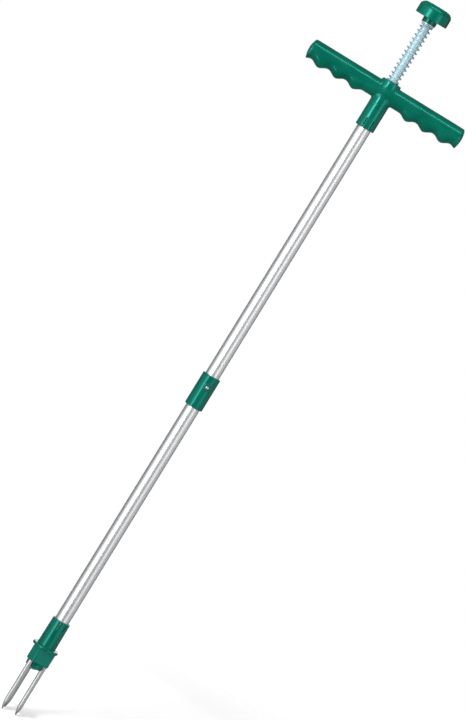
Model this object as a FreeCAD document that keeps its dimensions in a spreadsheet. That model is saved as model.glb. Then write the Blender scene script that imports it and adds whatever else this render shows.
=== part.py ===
import FreeCAD, Part

import math
import os
import re

import Sketcher

# A stand up weeder. All sizes are in millimetres and degrees.
#
# +Z runs up the shaft from the plane of the tine tips, and +X along one arm of the T-handle.
# An angle round the shaft is counted from the front (-Y) towards +X.


# ---------------------------------------------------------------- driving dimensions

# alias, value, meaning
SIZES = (
    # gaps
    ("SlipGap", 0.1, "radial gap between parts pushed together once"),
    ("RunningGap", 0.05, "radial gap between parts that slide in use"),
    ("SeatGap", 0.3, "lengthwise gap where a tube stops short of its seat"),
    ("FaceGap", 0.3, "gap between faces of parts that move apart"),
    ("Overrun", 1.0, "how far a cutter runs past the face that it opens"),
    # shaft
    ("TubeDiameter", 19.0, "outside diameter of both shaft tubes"),
    ("TubeWall", 1.0, "wall of both shaft tubes"),
    ("UpperTubeLength", 414.7, "length of the upper tube"),
    ("LowerTubeLength", 366.7, "length of the lower tube"),
    # push rod and plunger
    ("RodDiameter", 8.0, "diameter of the inner push rods"),
    ("SleeveDiameter", 10.6, "outside diameter of the plunger sleeve"),
    ("SleeveTail", 5.5, "sleeve left below the middle of the stop pin"),
    ("StopPinDiameter", 3.0, "diameter of the stop pin"),
    ("StopPinInset", 1.0, "gap from each pin end to the tube's inside"),
    ("ConnectorDiameter", 12.0, "diameter of the rod connector"),
    ("ConnectorLength", 26.0, "length of the rod connector"),
    ("ConnectorRise", 17.5, "connector's middle above the coupling"),
    ("ConnectorFlatDepth", 1.0, "depth of each spanner flat"),
    ("ConnectorFlatLength", 12.0, "length of each spanner flat"),
    # return spring and its washers
    ("SpringWire", 1.6, "wire of the return spring"),
    ("SpringGap", 1.35, "radial gap from the sleeve to the spring"),
    ("SpringLength", 82.5, "height of the spring at rest"),
    ("SpringTurns", 13.0, "open turns of the spring"),
    ("SeatWasherLip", 0.5, "seat washer's rim outside the spring"),
    ("SeatWasherThickness", 1.2, "thickness of the lower washer"),
    ("SeatRecessDepth", 1.4, "depth of the recess for the lower washer"),
    ("TopWasherLip", 0.85, "top washer's rim outside the spring"),
    ("TopWasherThickness", 1.5, "thickness of the upper washer"),
    # plunger knob
    ("KnobDiameter", 43.6, "diameter of the plunger knob"),
    ("KnobHeight", 24.5, "height of the knob with its neck"),
    ("KnobNeckHeight", 5.3, "height of the neck"),
    ("KnobNeckLip", 0.35, "neck's rim outside the top washer"),
    ("KnobDome", 1.5, "crown of the knob's top"),
    ("KnobEdgeRadius", 7.0, "rounding of the knob's rim"),
    ("KnobUnderRadius", 1.2, "rounding of the skirt's lower edge"),
    ("InsertWall", 2.0, "wall of the threaded insert"),
    ("InsertLength", 17.0, "length of the threaded insert"),
    ("InsertFloor", 2.0, "closed end of the insert above the rod"),
    # T-handle
    ("HandleSpan", 219.0, "length across both arms"),
    ("ArmDiameter", 25.0, "thickness of the arms between the finger ridges"),
    ("ArmWall", 4.0, "wall of the hollow arms"),
    ("ArmRise", 13.2, "arm axis above the shoulder in the hub"),
    ("HubWall", 3.1, "wall of the hub round the tube"),
    ("HubGrip", 35.2, "length of tube held in the hub"),
    ("CollarHeight", 3.2, "height of the collar above the arms"),
    ("CollarEdgeRadius", 1.0, "rounding of the collar's edge"),
    ("FingerSetback", 13.25, "from the hub's side to the first finger ridge's foot"),
    ("FingerPitch", 24.7, "spacing of the finger ridges"),
    ("FingerRidge", 4.7, "height of the finger ridges"),
    ("CoreSetback", 5.3, "solid plastic between the hub's side and an arm's hollow"),
    ("CapEdge", 1.6, "straight rim of an end cap"),
    ("CapDome", 3.0, "crown of an end cap"),
    ("CapPlug", 8.0, "length of an end cap's plug"),
    ("CapPlugWall", 2.0, "wall of an end cap's plug"),
    ("BushWall", 1.65, "wall of the hub bush"),
    ("BushFlange", 2.0, "thickness of the hub bush's flange"),
    # snap tongues
    ("SlitWidth", 1.8, "width of the slits beside a snap tongue"),
    ("HubSlitLength", 13.0, "length of the slits in the hub"),
    ("HubTongueAngle", 8.0, "direction of the hub's tongue"),
    ("BaseSlitLength", 11.5, "length of the slits in the base socket"),
    ("BaseTongueAngle", 21.0, "direction of the base socket's tongue"),
    ("TongueSpread", 24.0, "half the angle between a tongue's slits"),
    ("BarbDiameter", 5.0, "diameter of the barb on a tongue"),
    ("BarbBite", 0.8, "how far a barb stands into the tube's wall"),
    ("BarbInset", 5.0, "barb's middle from the tongue's end"),
    # middle coupling
    ("CouplingWall", 2.5, "wall of the tube coupling"),
    ("CouplingLowerGrip", 21.7, "length of lower tube in the coupling"),
    ("CouplingUpperGrip", 21.5, "length of upper tube in the coupling"),
    ("CouplingRib", 2.0, "thickness of the stop rib"),
    ("CouplingRibDepth", 1.0, "how far the stop rib stands in"),
    ("CouplingEdgeRadius", 0.8, "rounding of the coupling's ends"),
    ("ButtonRise", 6.5, "snap button above the stop rib"),
    ("ButtonAngle", 14.8, "direction of the snap button"),
    ("ButtonDiameter", 5.8, "diameter of the snap button"),
    ("ButtonStroke", 2.8, "travel of the snap button"),
    ("ButtonDome", 1.3, "crown of the snap button"),
    ("ButtonTail", 2.4, "diameter of the button's riveted tail"),
    ("ButtonTailHead", 0.4, "height of the tail's riveted head"),
    ("CouplingButtonGap", 0.5, "gap round the button in the coupling"),
    ("RingWidth", 1.2, "width of the moulded ring round the button"),
    ("RingHeight", 0.6, "height of the moulded ring"),
    ("ClipThickness", 0.4, "thickness of the button's spring clip"),
    ("ClipWidth", 6.0, "width of the button's spring clip"),
    ("ClipWrap", 290.0, "how much of a turn the clip goes round"),
    ("RivetDrop", 11.0, "rivet below the stop rib"),
    ("RivetDiameter", 4.0, "shank of the coupling rivet"),
    ("RivetHeadLip", 2.0, "rivet head's rim outside its shank"),
    ("RivetHeadHeight", 1.4, "height of the rivet's head"),
    ("RivetTailLip", 0.9, "rivet tail's rim outside its shank"),
    ("RivetTailHeight", 1.1, "height of the rivet's formed tail"),
    # base socket and tine block
    ("SocketWall", 2.3, "wall of the base socket at its top"),
    ("SocketTaper", 0.5, "growth of the socket's wall down to its flange"),
    ("SocketHeight", 41.3, "height of the base socket"),
    ("SocketFloor", 8.9, "floor of the base socket"),
    ("SocketFilletRadius", 1.2, "rounding between socket and flange"),
    ("FlangeThickness", 3.7, "thickness of the socket's flange"),
    ("FlangeLip", 0.5, "flange's rim outside the tine block's corners"),
    ("GuideWall", 1.5, "wall of the rod guide bush"),
    ("GuideShoulder", 1.5, "shoulder above the rod guide bush"),
    ("GuideShoulderLip", 0.7, "shoulder's step over the rod guide bush"),
    ("BlockHeight", 19.3, "height of the tine block"),
    ("BlockWall", 1.25, "wall of the tine block outside a tine"),
    ("BlockCornerRadius", 1.5, "rounding of the tine block's edges"),
    ("ScrewDiameter", 3.0, "shank of the base screws"),
    ("ScrewHeadDiameter", 5.6, "head of the base screws"),
    ("ScrewHeadHeight", 2.8, "height of the base screws' heads"),
    ("ScrewHeadInset", 0.4, "screw heads above the block's underside"),
    ("ScrewSocket", 1.5, "half the size of the drive in the screws' heads"),
    ("ScrewWeb", 2.15, "plastic between the guide bush and a screw"),
    ("ScrewWall", 0.8, "wall of the tine block outside a screw's head"),
    ("ScrewEngagement", 7.0, "length of screw in the socket's floor"),
    # tines
    ("TineDiameter", 6.2, "diameter of the tines"),
    ("TineReach", 71.5, "length of tine below the block"),
    ("TineWeb", 1.65, "plastic between the guide bush and a tine's head"),
    ("TineAngle", -36.0, "direction of the front left tine"),
    ("TineTipLength", 13.0, "length of the pointed end"),
    ("TineTipDiameter", 1.0, "diameter of the blunted point"),
    ("TineHeadLip", 1.3, "upset head's rim outside the tine"),
    ("TineHeadHeight", 2.2, "height of the upset head"),
    # ejector
    ("EjectorThickness", 7.2, "thickness of the ejector plate"),
    ("EjectorFloor", 2.0, "plastic under the rod's end"),
    ("NotchRadius", 5.0, "radius of the notches round the tines"),
    ("NotchGap", 0.7, "gap from a tine to its notch"),
    ("EjectorEdgeRadius", 0.6, "rounding of the ejector's lower edge"),
    ("EjectorScrewDiameter", 5.0, "shank of the ejector's screw"),
    ("EjectorScrewHead", 9.0, "head of the ejector's screw"),
    ("EjectorScrewHeadHeight", 2.6, "height of that head"),
    ("EjectorScrewReach", 12.0, "length of screw in the push rod"),
    ("EjectorDrive", 2.0, "half the size of the drive in that head"),
    ("EjectorWasherDiameter", 12.0, "diameter of the ejector's washer"),
    ("EjectorWasherThickness", 1.0, "thickness of the ejector's washer"),
)

# Places and fits that follow from the driving dimensions.
FOLLOWS = {
    # radii round the shaft
    "TubeRadius": "TubeDiameter / 2",
    "TubeInside": "TubeRadius - TubeWall",
    "SocketBore": "TubeRadius + SlipGap",
    "HubRadius": "SocketBore + HubWall",
    "CouplingRadius": "SocketBore + CouplingWall",
    "SocketRadius": "SocketBore + SocketWall",
    "RodHole": "RodDiameter / 2 + SlipGap",
    "SleeveBore": "RodDiameter / 2 + SlipGap",
    "BushBore": "SleeveDiameter / 2 + RunningGap",
    "BushRadius": "BushBore + BushWall",
    "SpringInside": "SleeveDiameter / 2 + SpringGap",
    "SpringOutside": "SpringInside + SpringWire",
    "SeatWasherRadius": "SpringOutside + SeatWasherLip",
    "TopWasherRadius": "SpringOutside + TopWasherLip",
    "NeckRadius": "TopWasherRadius + KnobNeckLip",
    "InsertRadius": "RodHole + InsertWall",
    "CoreRadius": "ArmDiameter / 2 - ArmWall",
    "GuideBore": "RodDiameter / 2 + RunningGap",
    "GuideRadius": "GuideBore + GuideWall",
    "TineRadius": "TineDiameter / 2",
    "TineHeadRadius": "TineRadius + TineHeadLip",
    "TineHole": "TineRadius + RunningGap",
    "TineHeadHole": "TineHeadRadius + SlipGap",
    "TineCircle": "GuideRadius + TineWeb + TineHeadHole",
    "ScrewHole": "ScrewDiameter / 2 + SlipGap",
    "ScrewHeadHole": "ScrewHeadDiameter / 2 + SlipGap",
    "ScrewCircle": "GuideRadius + ScrewWeb + ScrewHole",
    "BlockCorner": "TineCircle + TineHole + BlockWall",
    "BlockFlat": "ScrewCircle + ScrewHeadHole + ScrewWall",
    "BlockVertexSide": "(BlockFlat - BlockCorner * cos(60deg)) / sin(60deg)",
    "FlangeRadius": "sqrt(BlockCorner ^ 2 + BlockVertexSide ^ 2) + FlangeLip",
    "EjectorRadius": "TineCircle",
    "NotchCircle": "TineCircle - TineRadius - NotchGap + NotchRadius",
    "EjectorScrewHole": "EjectorScrewDiameter / 2 + SlipGap",
    # heights, from the tine tips up
    "EjectorTop": "TineReach - FaceGap",
    "EjectorBottom": "EjectorTop - EjectorThickness",
    "RodBottom": "EjectorBottom + EjectorFloor",
    "EjectorWasherBottom": "EjectorBottom - EjectorWasherThickness",
    "BlockTop": "TineReach + BlockHeight",
    "FloorTop": "BlockTop + SocketFloor",
    "SocketTop": "BlockTop + SocketHeight",
    "BaseBarbHeight": "SocketTop - BarbInset",
    "LowerTubeBottom": "FloorTop + SeatGap",
    "LowerTubeTop": "LowerTubeBottom + LowerTubeLength",
    "RibBottom": "LowerTubeTop + SeatGap",
    "RibTop": "RibBottom + CouplingRib",
    "CouplingBottom": "RibBottom - CouplingLowerGrip",
    "CouplingTop": "RibTop + CouplingUpperGrip",
    "ButtonHeight": "RibTop + ButtonRise",
    "RivetHeight": "RibBottom - RivetDrop",
    "ConnectorMiddle": "CouplingTop + ConnectorRise",
    "UpperTubeBottom": "RibTop + SeatGap",
    "UpperTubeTop": "UpperTubeBottom + UpperTubeLength",
    "HubBottom": "UpperTubeTop - HubGrip",
    "HubBarbHeight": "HubBottom + BarbInset",
    "HubShoulder": "UpperTubeTop + BushFlange",
    "ArmHeight": "HubShoulder + ArmRise",
    "HubTop": "ArmHeight + ArmDiameter / 2 + CollarHeight",
    "SeatRecess": "HubTop - SeatRecessDepth",
    "SpringBottom": "SeatRecess + SeatWasherThickness",
    "SpringTop": "SpringBottom + SpringLength",
    "KnobBottom": "SpringTop + TopWasherThickness",
    "InsertTop": "KnobBottom + InsertLength",
    "RodTop": "InsertTop - InsertFloor",
    "StopPinHeight": "UpperTubeTop - FaceGap - StopPinDiameter / 2",
    "SleeveBottom": "StopPinHeight - SleeveTail",
    # lengths along the arms
    "CoreStart": "HubRadius + CoreSetback",
    "FingerStart": "HubRadius + FingerSetback",
    "CapPlane": "HandleSpan / 2 - CapEdge - CapDome",
    "CapHalfHeight": "(ArmDiameter + FingerRidge) / 2",
    "CapDomeRadius": "(CapHalfHeight ^ 2 + CapDome ^ 2) / (2 * CapDome)",
}

doc = FreeCAD.newDocument("StandUpWeeder")
sheet = doc.addObject("Spreadsheet::Sheet", "Dimensions")
for row, (alias, size, meaning) in enumerate(SIZES, start=1):
    sheet.set("A%d" % row, alias)
    sheet.set("B%d" % row, str(size))
    sheet.set("C%d" % row, meaning)
    sheet.setAlias("B%d" % row, alias)
doc.recompute()

CELLS = {alias for alias, _, _ in SIZES}
WORD = re.compile(r"[A-Z][A-Za-z]+")


def spell_out(formula):
    """Write a formula in terms of the sheet's cells only."""

    def one_word(match):
        word = match.group(0)
        if word in CELLS:
            return "Dimensions." + word
        return "(" + spell_out(FOLLOWS[word]) + ")"

    return WORD.sub(one_word, formula)


def bind(item, **formulas):
    """Bind properties of a document object to the sheet."""
    for name, formula in formulas.items():
        item.setExpression(name, spell_out(formula))
    return item


def size_of(formula):
    """The present value of a formula, as a number."""
    value = sheet.evalExpression(spell_out(formula))
    return float(getattr(value, "Value", value))


def spot(x="0", y="0", z="0", yaw="0", pitch="0", roll="0"):
    """The expression of a placement: roll, pitch and yaw are turns about X, Y and Z."""
    vector = "create(<<vector>>; %s; %s; %s)" % (x, y, z)
    turn = "create(<<rotation>>; %s; %s; %s)" % (yaw, pitch, roll)
    return "create(<<placement>>; %s; %s)" % (vector, turn)


def put(item, **where):
    """Bind an object's placement."""
    return bind(item, Placement=spot(**where))


# ---------------------------------------------------------------- solids from primitives


def add(kind, name):
    item = doc.addObject(kind, name)
    item.Label = name
    return item


def cylinder(name, radius, bottom, top, x="0", y="0"):
    """An upright cylinder between two heights."""
    item = add("Part::Cylinder", name)
    bind(item, Radius=radius, Height="(%s) - (%s)" % (top, bottom))
    return put(item, x=x, y=y, z=bottom)


def cross_cylinder(name, radius, inner, outer, height, angle="0"):
    """A cylinder that lies along a radius of the shaft."""
    item = add("Part::Cylinder", name)
    bind(item, Radius=radius, Height="(%s) - (%s)" % (outer, inner))
    x = "(%s) * sin((%s) * 1deg)" % (inner, angle)
    y = "-(%s) * cos((%s) * 1deg)" % (inner, angle)
    return put(item, x=x, y=y, z=height, yaw=angle, roll="90")


def arm_cylinder(name, radius, start, end):
    """A cylinder along +X at the height of the arms."""
    item = add("Part::Cylinder", name)
    bind(item, Radius=radius, Height="(%s) - (%s)" % (end, start))
    return put(item, x=start, z="ArmHeight", pitch="90")


def slit_block(name, angle, reach, bottom, top):
    """A narrow block from the shaft's axis outwards, to cut a slit."""
    item = add("Part::Box", name)
    bind(item, Length="SlitWidth", Width=reach, Height="(%s) - (%s)" % (top, bottom))
    turn = "(%s) * 1deg" % angle
    x = "-SlitWidth / 2 * cos(%s) + (%s) * sin(%s)" % (turn, reach, turn)
    y = "-SlitWidth / 2 * sin(%s) - (%s) * cos(%s)" % (turn, reach, turn)
    return put(item, x=x, y=y, z=bottom, yaw=angle)


def cut(name, base, *tools):
    """Take tools away from a base."""
    item = add("Part::Cut", name)
    item.Base = base
    item.Tool = tools[0] if len(tools) == 1 else fuse(name + "_tools", *tools)
    return item


def fuse(name, *shapes):
    """Join shapes into one solid."""
    item = add("Part::MultiFuse", name)
    item.Shapes = list(shapes)
    return item


def common(name, *shapes):
    """Keep what two shapes share."""
    item = add("Part::MultiCommon", name)
    item.Shapes = list(shapes)
    return item


def mirrored(name, source):
    """The other hand of a shape, across the plane X = 0."""
    item = add("Part::Mirroring", name)
    item.Source = source
    item.Normal = FreeCAD.Vector(1, 0, 0)
    return item


def is_rim(radius, height):
    """A test for a circle about the Z axis with this radius and height."""
    wanted_radius = size_of(radius)
    wanted_height = size_of(height)

    def test(edge):
        if edge.Degenerated or not isinstance(edge.Curve, Part.Circle):
            return False
        centre = edge.Curve.Center
        on_axis = math.hypot(centre.x, centre.y) < 1e-4
        same_radius = abs(edge.Curve.Radius - wanted_radius) < 1e-3
        return on_axis and same_radius and abs(centre.z - wanted_height) < 1e-3

    return test


def rim_edges(shape, radius, height):
    """Numbers of the edges that pass that test."""
    test = is_rim(radius, height)
    return [number for number, edge in enumerate(shape.Edges, start=1) if test(edge)]


def rounded(name, base, radius, rims):
    """Round the circular rims, each given as a radius and a height."""
    doc.recompute()
    item = add("Part::Fillet", name)
    item.Base = base
    amount = size_of(radius)
    numbers = []
    for rim_radius, rim_height in rims:
        numbers += rim_edges(base.Shape, rim_radius, rim_height)
    item.Edges = [(number, amount, amount) for number in numbers]
    return item


# ---------------------------------------------------------------- solids from sketches


def new_body(name, **where):
    """A body whose own frame is placed on the shaft."""
    return put(add("PartDesign::Body", name), **where)


def sketch_on(body, role, name, offset="0", turn="0"):
    """A sketch on one of the body's origin planes, moved along its normal and turned in it."""
    sketch = body.newObject("Sketcher::SketchObject", body.Name + "_" + name)
    plane = [item for item in body.Origin.OriginFeatures if item.Role == role][0]
    sketch.AttachmentSupport = [(plane, "")]
    sketch.MapMode = "FlatFace"
    bind(sketch, AttachmentOffset=spot(z=offset, yaw=turn))
    return sketch


def fix_point(sketch, part, point, x, y):
    """Hold a sketch point at two bound distances from the sketch's origin."""
    for kind, formula, axis in (("DistanceX", x, -2), ("DistanceY", y, -1)):
        if formula == "0":
            sketch.addConstraint(Sketcher.Constraint("PointOnObject", part, point, axis))
            continue
        rule = Sketcher.Constraint(kind, -1, 1, part, point, size_of(formula))
        number = sketch.addConstraint(rule)
        sketch.setExpression("Constraints[%d]" % number, spell_out(formula))


def draw_circle(sketch, radius, x="0", y="0"):
    """A circle with a bound radius and centre."""
    centre = FreeCAD.Vector(size_of(x), size_of(y), 0)
    circle = Part.Circle(centre, FreeCAD.Vector(0, 0, 1), size_of(radius))
    part = sketch.addGeometry(circle, False)
    fix_point(sketch, part, 3, x, y)
    number = sketch.addConstraint(Sketcher.Constraint("Radius", part, size_of(radius)))
    sketch.setExpression("Constraints[%d]" % number, spell_out(radius))


def bulge(start, end, radius):
    """The arc from start to end that bends to the right of the straight way."""
    half = (end - start) / 2
    sagitta = radius - math.sqrt(radius ** 2 - half.Length ** 2)
    outwards = FreeCAD.Vector(half.y, -half.x, 0).normalize()
    return Part.Arc(start, start + half + outwards * sagitta, end)


def draw_outline(sketch, corners, arcs=None):
    """A closed outline, drawn anticlockwise through bound corners.

    The sides are straight, apart from those whose corner number is in arcs, with a radius.
    """
    arcs = arcs or {}
    points = [FreeCAD.Vector(size_of(x), size_of(y), 0) for x, y in corners]
    count = len(points)
    first = len(sketch.Geometry)
    for i, start in enumerate(points):
        end = points[(i + 1) % count]
        if i in arcs:
            sketch.addGeometry(bulge(start, end, size_of(arcs[i])), False)
        else:
            sketch.addGeometry(Part.LineSegment(start, end), False)
    for i, (x, y) in enumerate(corners):
        before = first + (i - 1) % count
        sketch.addConstraint(Sketcher.Constraint("Coincident", before, 2, first + i, 1))
        fix_point(sketch, first + i, 1, x, y)
    for i, radius in arcs.items():
        number = sketch.addConstraint(Sketcher.Constraint("Radius", first + i, size_of(radius)))
        sketch.setExpression("Constraints[%d]" % number, spell_out(radius))


def crown_radius(half_width, height):
    """The radius of a crown that rises by a height over a half width."""
    return "((%s) ^ 2 + (%s) ^ 2) / (2 * (%s))" % (half_width, height, height)


def draw_rectangle(sketch, left, right, low, high):
    """An upright rectangle with bound sides."""
    draw_outline(sketch, ((left, low), (right, low), (right, high), (left, high)))


def pad(body, sketch, length, both_sides=False):
    """Add material along the sketch's normal."""
    item = body.newObject("PartDesign::Pad", sketch.Name + "_pad")
    item.Profile = sketch
    item.Midplane = both_sides
    return bind(item, Length=length)


def revolve(body, sketch):
    """Turn a profile about the sketch's upright axis."""
    item = body.newObject("PartDesign::Revolution", sketch.Name + "_turned")
    item.Profile = sketch
    item.ReferenceAxis = (sketch, ["V_Axis"])
    item.Angle = 360
    return item


def checked_cut(body, item):
    """Make sure that a cutting feature has taken material away."""
    before = body.Shape.Volume
    doc.recompute()
    if not body.Shape.Volume < before - 1e-6:
        raise ValueError(item.Name + " cuts nothing")
    return item


def pocket(body, sketch, depth, with_normal=True, both_sides=False):
    """Cut along the sketch's normal, or against it."""
    doc.recompute()
    item = body.newObject("PartDesign::Pocket", sketch.Name + "_pocket")
    item.Profile = sketch
    item.Midplane = both_sides
    item.Reversed = with_normal
    bind(item, Length=depth)
    return checked_cut(body, item)


def three_times(body, *features):
    """Repeat features at three equal angles round the shaft."""
    axis = [item for item in body.Origin.OriginFeatures if item.Role == "Z_Axis"][0]
    item = body.newObject("PartDesign::PolarPattern", body.Name + "_pattern")
    item.Originals = list(features)
    item.Axis = (axis, [""])
    item.Angle = 360
    item.Occurrences = 3
    body.Tip = item
    return checked_cut(body, item)


def round_edges(body, name, radius, wanted):
    """Round the edges of the body that a test picks out."""
    doc.recompute()
    base = body.Tip
    names = ["Edge%d" % n for n, edge in enumerate(base.Shape.Edges, start=1) if wanted(edge)]
    item = body.newObject("PartDesign::Fillet", body.Name + "_" + name)
    item.Base = (base, names)
    bind(item, Radius=radius)
    return item


def turned_body(name, corners, arcs=None, **where):
    """A body made by turning an outline of radius and height."""
    body = new_body(name, **where)
    sketch = sketch_on(body, "XZ_Plane", "profile")
    draw_outline(sketch, corners, arcs)
    revolve(body, sketch)
    return body


def ring(name, outer, inner, bottom, top):
    """A plain washer, sleeve or bush."""
    height = "(%s) - (%s)" % (top, bottom)
    corners = ((inner, "0"), (outer, "0"), (outer, height), (inner, height))
    return turned_body(name, corners, z=bottom)


# ---------------------------------------------------------------- plunger


def plunger_knob():
    corners = (
        ("0", "0"),
        ("NeckRadius", "0"),
        ("NeckRadius", "KnobNeckHeight"),
        ("KnobDiameter / 2", "KnobNeckHeight"),
        ("KnobDiameter / 2", "KnobHeight - KnobDome"),
        ("0", "KnobHeight"),
    )
    crown = {4: crown_radius("KnobDiameter / 2", "KnobDome")}
    body = turned_body("plunger_knob", corners, crown, z="KnobBottom")
    rim = is_rim("KnobDiameter / 2", "KnobHeight - KnobDome")
    round_edges(body, "rim", "KnobEdgeRadius", rim)
    skirt = is_rim("KnobDiameter / 2", "KnobNeckHeight")
    round_edges(body, "skirt", "KnobUnderRadius", skirt)
    hole = sketch_on(body, "XY_Plane", "insert_hole")
    draw_circle(hole, "InsertRadius")
    pocket(body, hole, "InsertLength")
    return body


def knob_insert():
    body = new_body("knob_insert", z="KnobBottom")
    outline = sketch_on(body, "XY_Plane", "outline")
    draw_circle(outline, "InsertRadius")
    pad(body, outline, "InsertLength")
    bore = sketch_on(body, "XY_Plane", "bore")
    draw_circle(bore, "RodHole")
    pocket(body, bore, "InsertLength - InsertFloor")
    return body


def spring_top_washer():
    return ring("spring_top_washer", "TopWasherRadius", "RodHole", "SpringTop", "KnobBottom")


def stop_pin_hole(name):
    """A cutter along X for the stop pin."""
    item = add("Part::Cylinder", name)
    bind(item, Radius="StopPinDiameter / 2 + RunningGap", Height="2 * SleeveDiameter")
    return put(item, x="-SleeveDiameter", z="StopPinHeight", pitch="90")


def plunger_sleeve():
    outside = cylinder("sleeve_outside", "SleeveDiameter / 2", "SleeveBottom", "SpringTop")
    inside = cylinder("sleeve_inside", "SleeveBore", "SleeveBottom - Overrun", "SpringTop + Overrun")
    return cut("plunger_sleeve", outside, inside, stop_pin_hole("sleeve_pin_hole"))


def push_rod_upper():
    bottom = "ConnectorMiddle + SeatGap / 2"
    rod = cylinder("upper_rod_blank", "RodDiameter / 2", bottom, "RodTop")
    return cut("push_rod_upper", rod, stop_pin_hole("rod_pin_hole"))


def rod_stop_pin():
    item = add("Part::Cylinder", "rod_stop_pin")
    bind(item, Radius="StopPinDiameter / 2", Height="2 * (TubeInside - StopPinInset)")
    return put(item, x="StopPinInset - TubeInside", z="StopPinHeight", pitch="90")


def rod_connector():
    body = new_body("rod_connector", z="ConnectorMiddle")
    outline = sketch_on(body, "XY_Plane", "outline")
    draw_circle(outline, "ConnectorDiameter / 2")
    draw_circle(outline, "RodHole")
    pad(body, outline, "ConnectorLength", both_sides=True)
    flats = sketch_on(body, "XZ_Plane", "flats")
    half = "ConnectorFlatLength / 2"
    inner = "ConnectorDiameter / 2 - ConnectorFlatDepth"
    draw_rectangle(flats, inner, "ConnectorDiameter", "-" + half, half)
    draw_rectangle(flats, "-ConnectorDiameter", "-(" + inner + ")", "-" + half, half)
    pocket(body, flats, "2 * ConnectorDiameter", both_sides=True)
    return body


def push_rod_lower():
    top = "ConnectorMiddle - SeatGap / 2"
    rod = cylinder("lower_rod_blank", "RodDiameter / 2", "RodBottom", top)
    hole_top = "RodBottom + EjectorScrewReach + 2 * Overrun"
    hole = cylinder("lower_rod_tapping", "EjectorScrewHole", "RodBottom - Overrun", hole_top)
    return cut("push_rod_lower", rod, hole)


def ejector_plate():
    body = new_body("ejector_plate", z="EjectorBottom", yaw="TineAngle")
    outline = sketch_on(body, "XY_Plane", "outline")
    draw_circle(outline, "EjectorRadius")
    pad(body, outline, "EjectorThickness")
    edge = is_rim("EjectorRadius", "0")
    round_edges(body, "edge", "EjectorEdgeRadius", edge)
    hole = sketch_on(body, "XY_Plane", "screw_hole")
    draw_circle(hole, "EjectorScrewHole")
    pocket(body, hole, "EjectorFloor")
    seat = sketch_on(body, "XY_Plane", "rod_seat", offset="EjectorFloor")
    draw_circle(seat, "RodHole")
    pocket(body, seat, "EjectorThickness")
    notch = sketch_on(body, "XY_Plane", "notch")
    draw_circle(notch, "NotchRadius", y="-NotchCircle")
    three_times(body, pocket(body, notch, "EjectorThickness"))
    return body


def ejector_washer():
    outer = "EjectorWasherDiameter / 2"
    bottom = "EjectorWasherBottom"
    return ring("ejector_washer", outer, "EjectorScrewHole", bottom, "EjectorBottom")


def ejector_screw():
    head = "EjectorScrewHead / 2"
    shank = "EjectorScrewDiameter / 2"
    top = "EjectorScrewHeadHeight + EjectorWasherThickness + EjectorFloor + EjectorScrewReach"
    crown = "EjectorScrewHeadHeight * 2 / 3"
    corners = (
        ("0", "0"),
        (head, crown),
        (head, "EjectorScrewHeadHeight"),
        (shank, "EjectorScrewHeadHeight"),
        (shank, top),
        ("0", top),
    )
    bottom = "EjectorWasherBottom - EjectorScrewHeadHeight"
    body = turned_body("ejector_screw", corners, {0: crown_radius(head, crown)}, z=bottom)
    drive = sketch_on(body, "XY_Plane", "drive")
    draw_rectangle(drive, "-EjectorDrive", "EjectorDrive", "-EjectorDrive / 3", "EjectorDrive / 3")
    pocket(body, drive, "EjectorScrewHeadHeight / 2")
    across = sketch_on(body, "XY_Plane", "drive_across", turn="90")
    draw_rectangle(across, "-EjectorDrive", "EjectorDrive", "-EjectorDrive / 3", "EjectorDrive / 3")
    pocket(body, across, "EjectorScrewHeadHeight / 2")
    return body


# ---------------------------------------------------------------- return spring


def return_spring():
    """A compression spring with one closed turn at each end, swept along its own line."""
    wire = size_of("SpringWire")
    radius = size_of("SpringInside") + wire / 2
    open_turns = size_of("SpringTurns")
    travel = size_of("SpringLength") - wire
    closed_pitch = wire * 1.05
    blend_turns = 0.25
    per_turn = 16
    turns = open_turns + 2
    open_pitch = (travel - 2 * closed_pitch) / open_turns

    def climb(turn):
        """Pitch at a point of the line: closed at the ends and open between."""
        from_end = min(turn, turns - turn)
        share = min(max((from_end - 1 + blend_turns) / (2 * blend_turns), 0), 1)
        smooth = share * share * (3 - 2 * share)
        return closed_pitch + (open_pitch - closed_pitch) * smooth

    steps = int(turns * per_turn)
    heights = [0.0]
    for step in range(steps):
        middle = (step + 0.5) * turns / steps
        heights.append(heights[-1] + climb(middle) * turns / steps)
    stretch = travel / heights[-1]
    line = []
    for step in range(steps + 1):
        angle = 2 * math.pi * turns * step / steps
        height = wire / 2 + heights[step] * stretch
        line.append(FreeCAD.Vector(radius * math.cos(angle), radius * math.sin(angle), height))
    curve = Part.BSplineCurve()
    curve.interpolate(line)
    path = Part.Wire([curve.toShape()])
    profile = Part.Wire([Part.makeCircle(wire / 2, line[0], curve.tangent(0)[0])])
    spring = add("Part::Feature", "return_spring")
    spring.Shape = path.makePipeShell([profile], True, True)
    return put(spring, z="SpringBottom")


# ---------------------------------------------------------------- T-handle


def ridge_drop(distance):
    """How far the ridged underside hangs below the arm's round section."""
    return "FingerRidge * sin(180deg * ((%s) - FingerStart) / FingerPitch) ^ 2" % distance


def arm_section(name, distance, drop, side=1):
    """One upright oval section of an arm; side is 1 on the right and -1 on the left."""
    item = add("Part::Ellipse", name)
    bind(item, MajorRadius="(ArmDiameter + %s) / 2" % drop, MinorRadius="ArmDiameter / 2")
    return put(item, x="%d * (%s)" % (side, distance), z="ArmHeight - %s / 2" % drop, pitch="-90")


def loft(name, sections):
    item = add("Part::Loft", name)
    item.Sections = sections
    item.Solid = True
    item.Ruled = False
    return item


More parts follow.
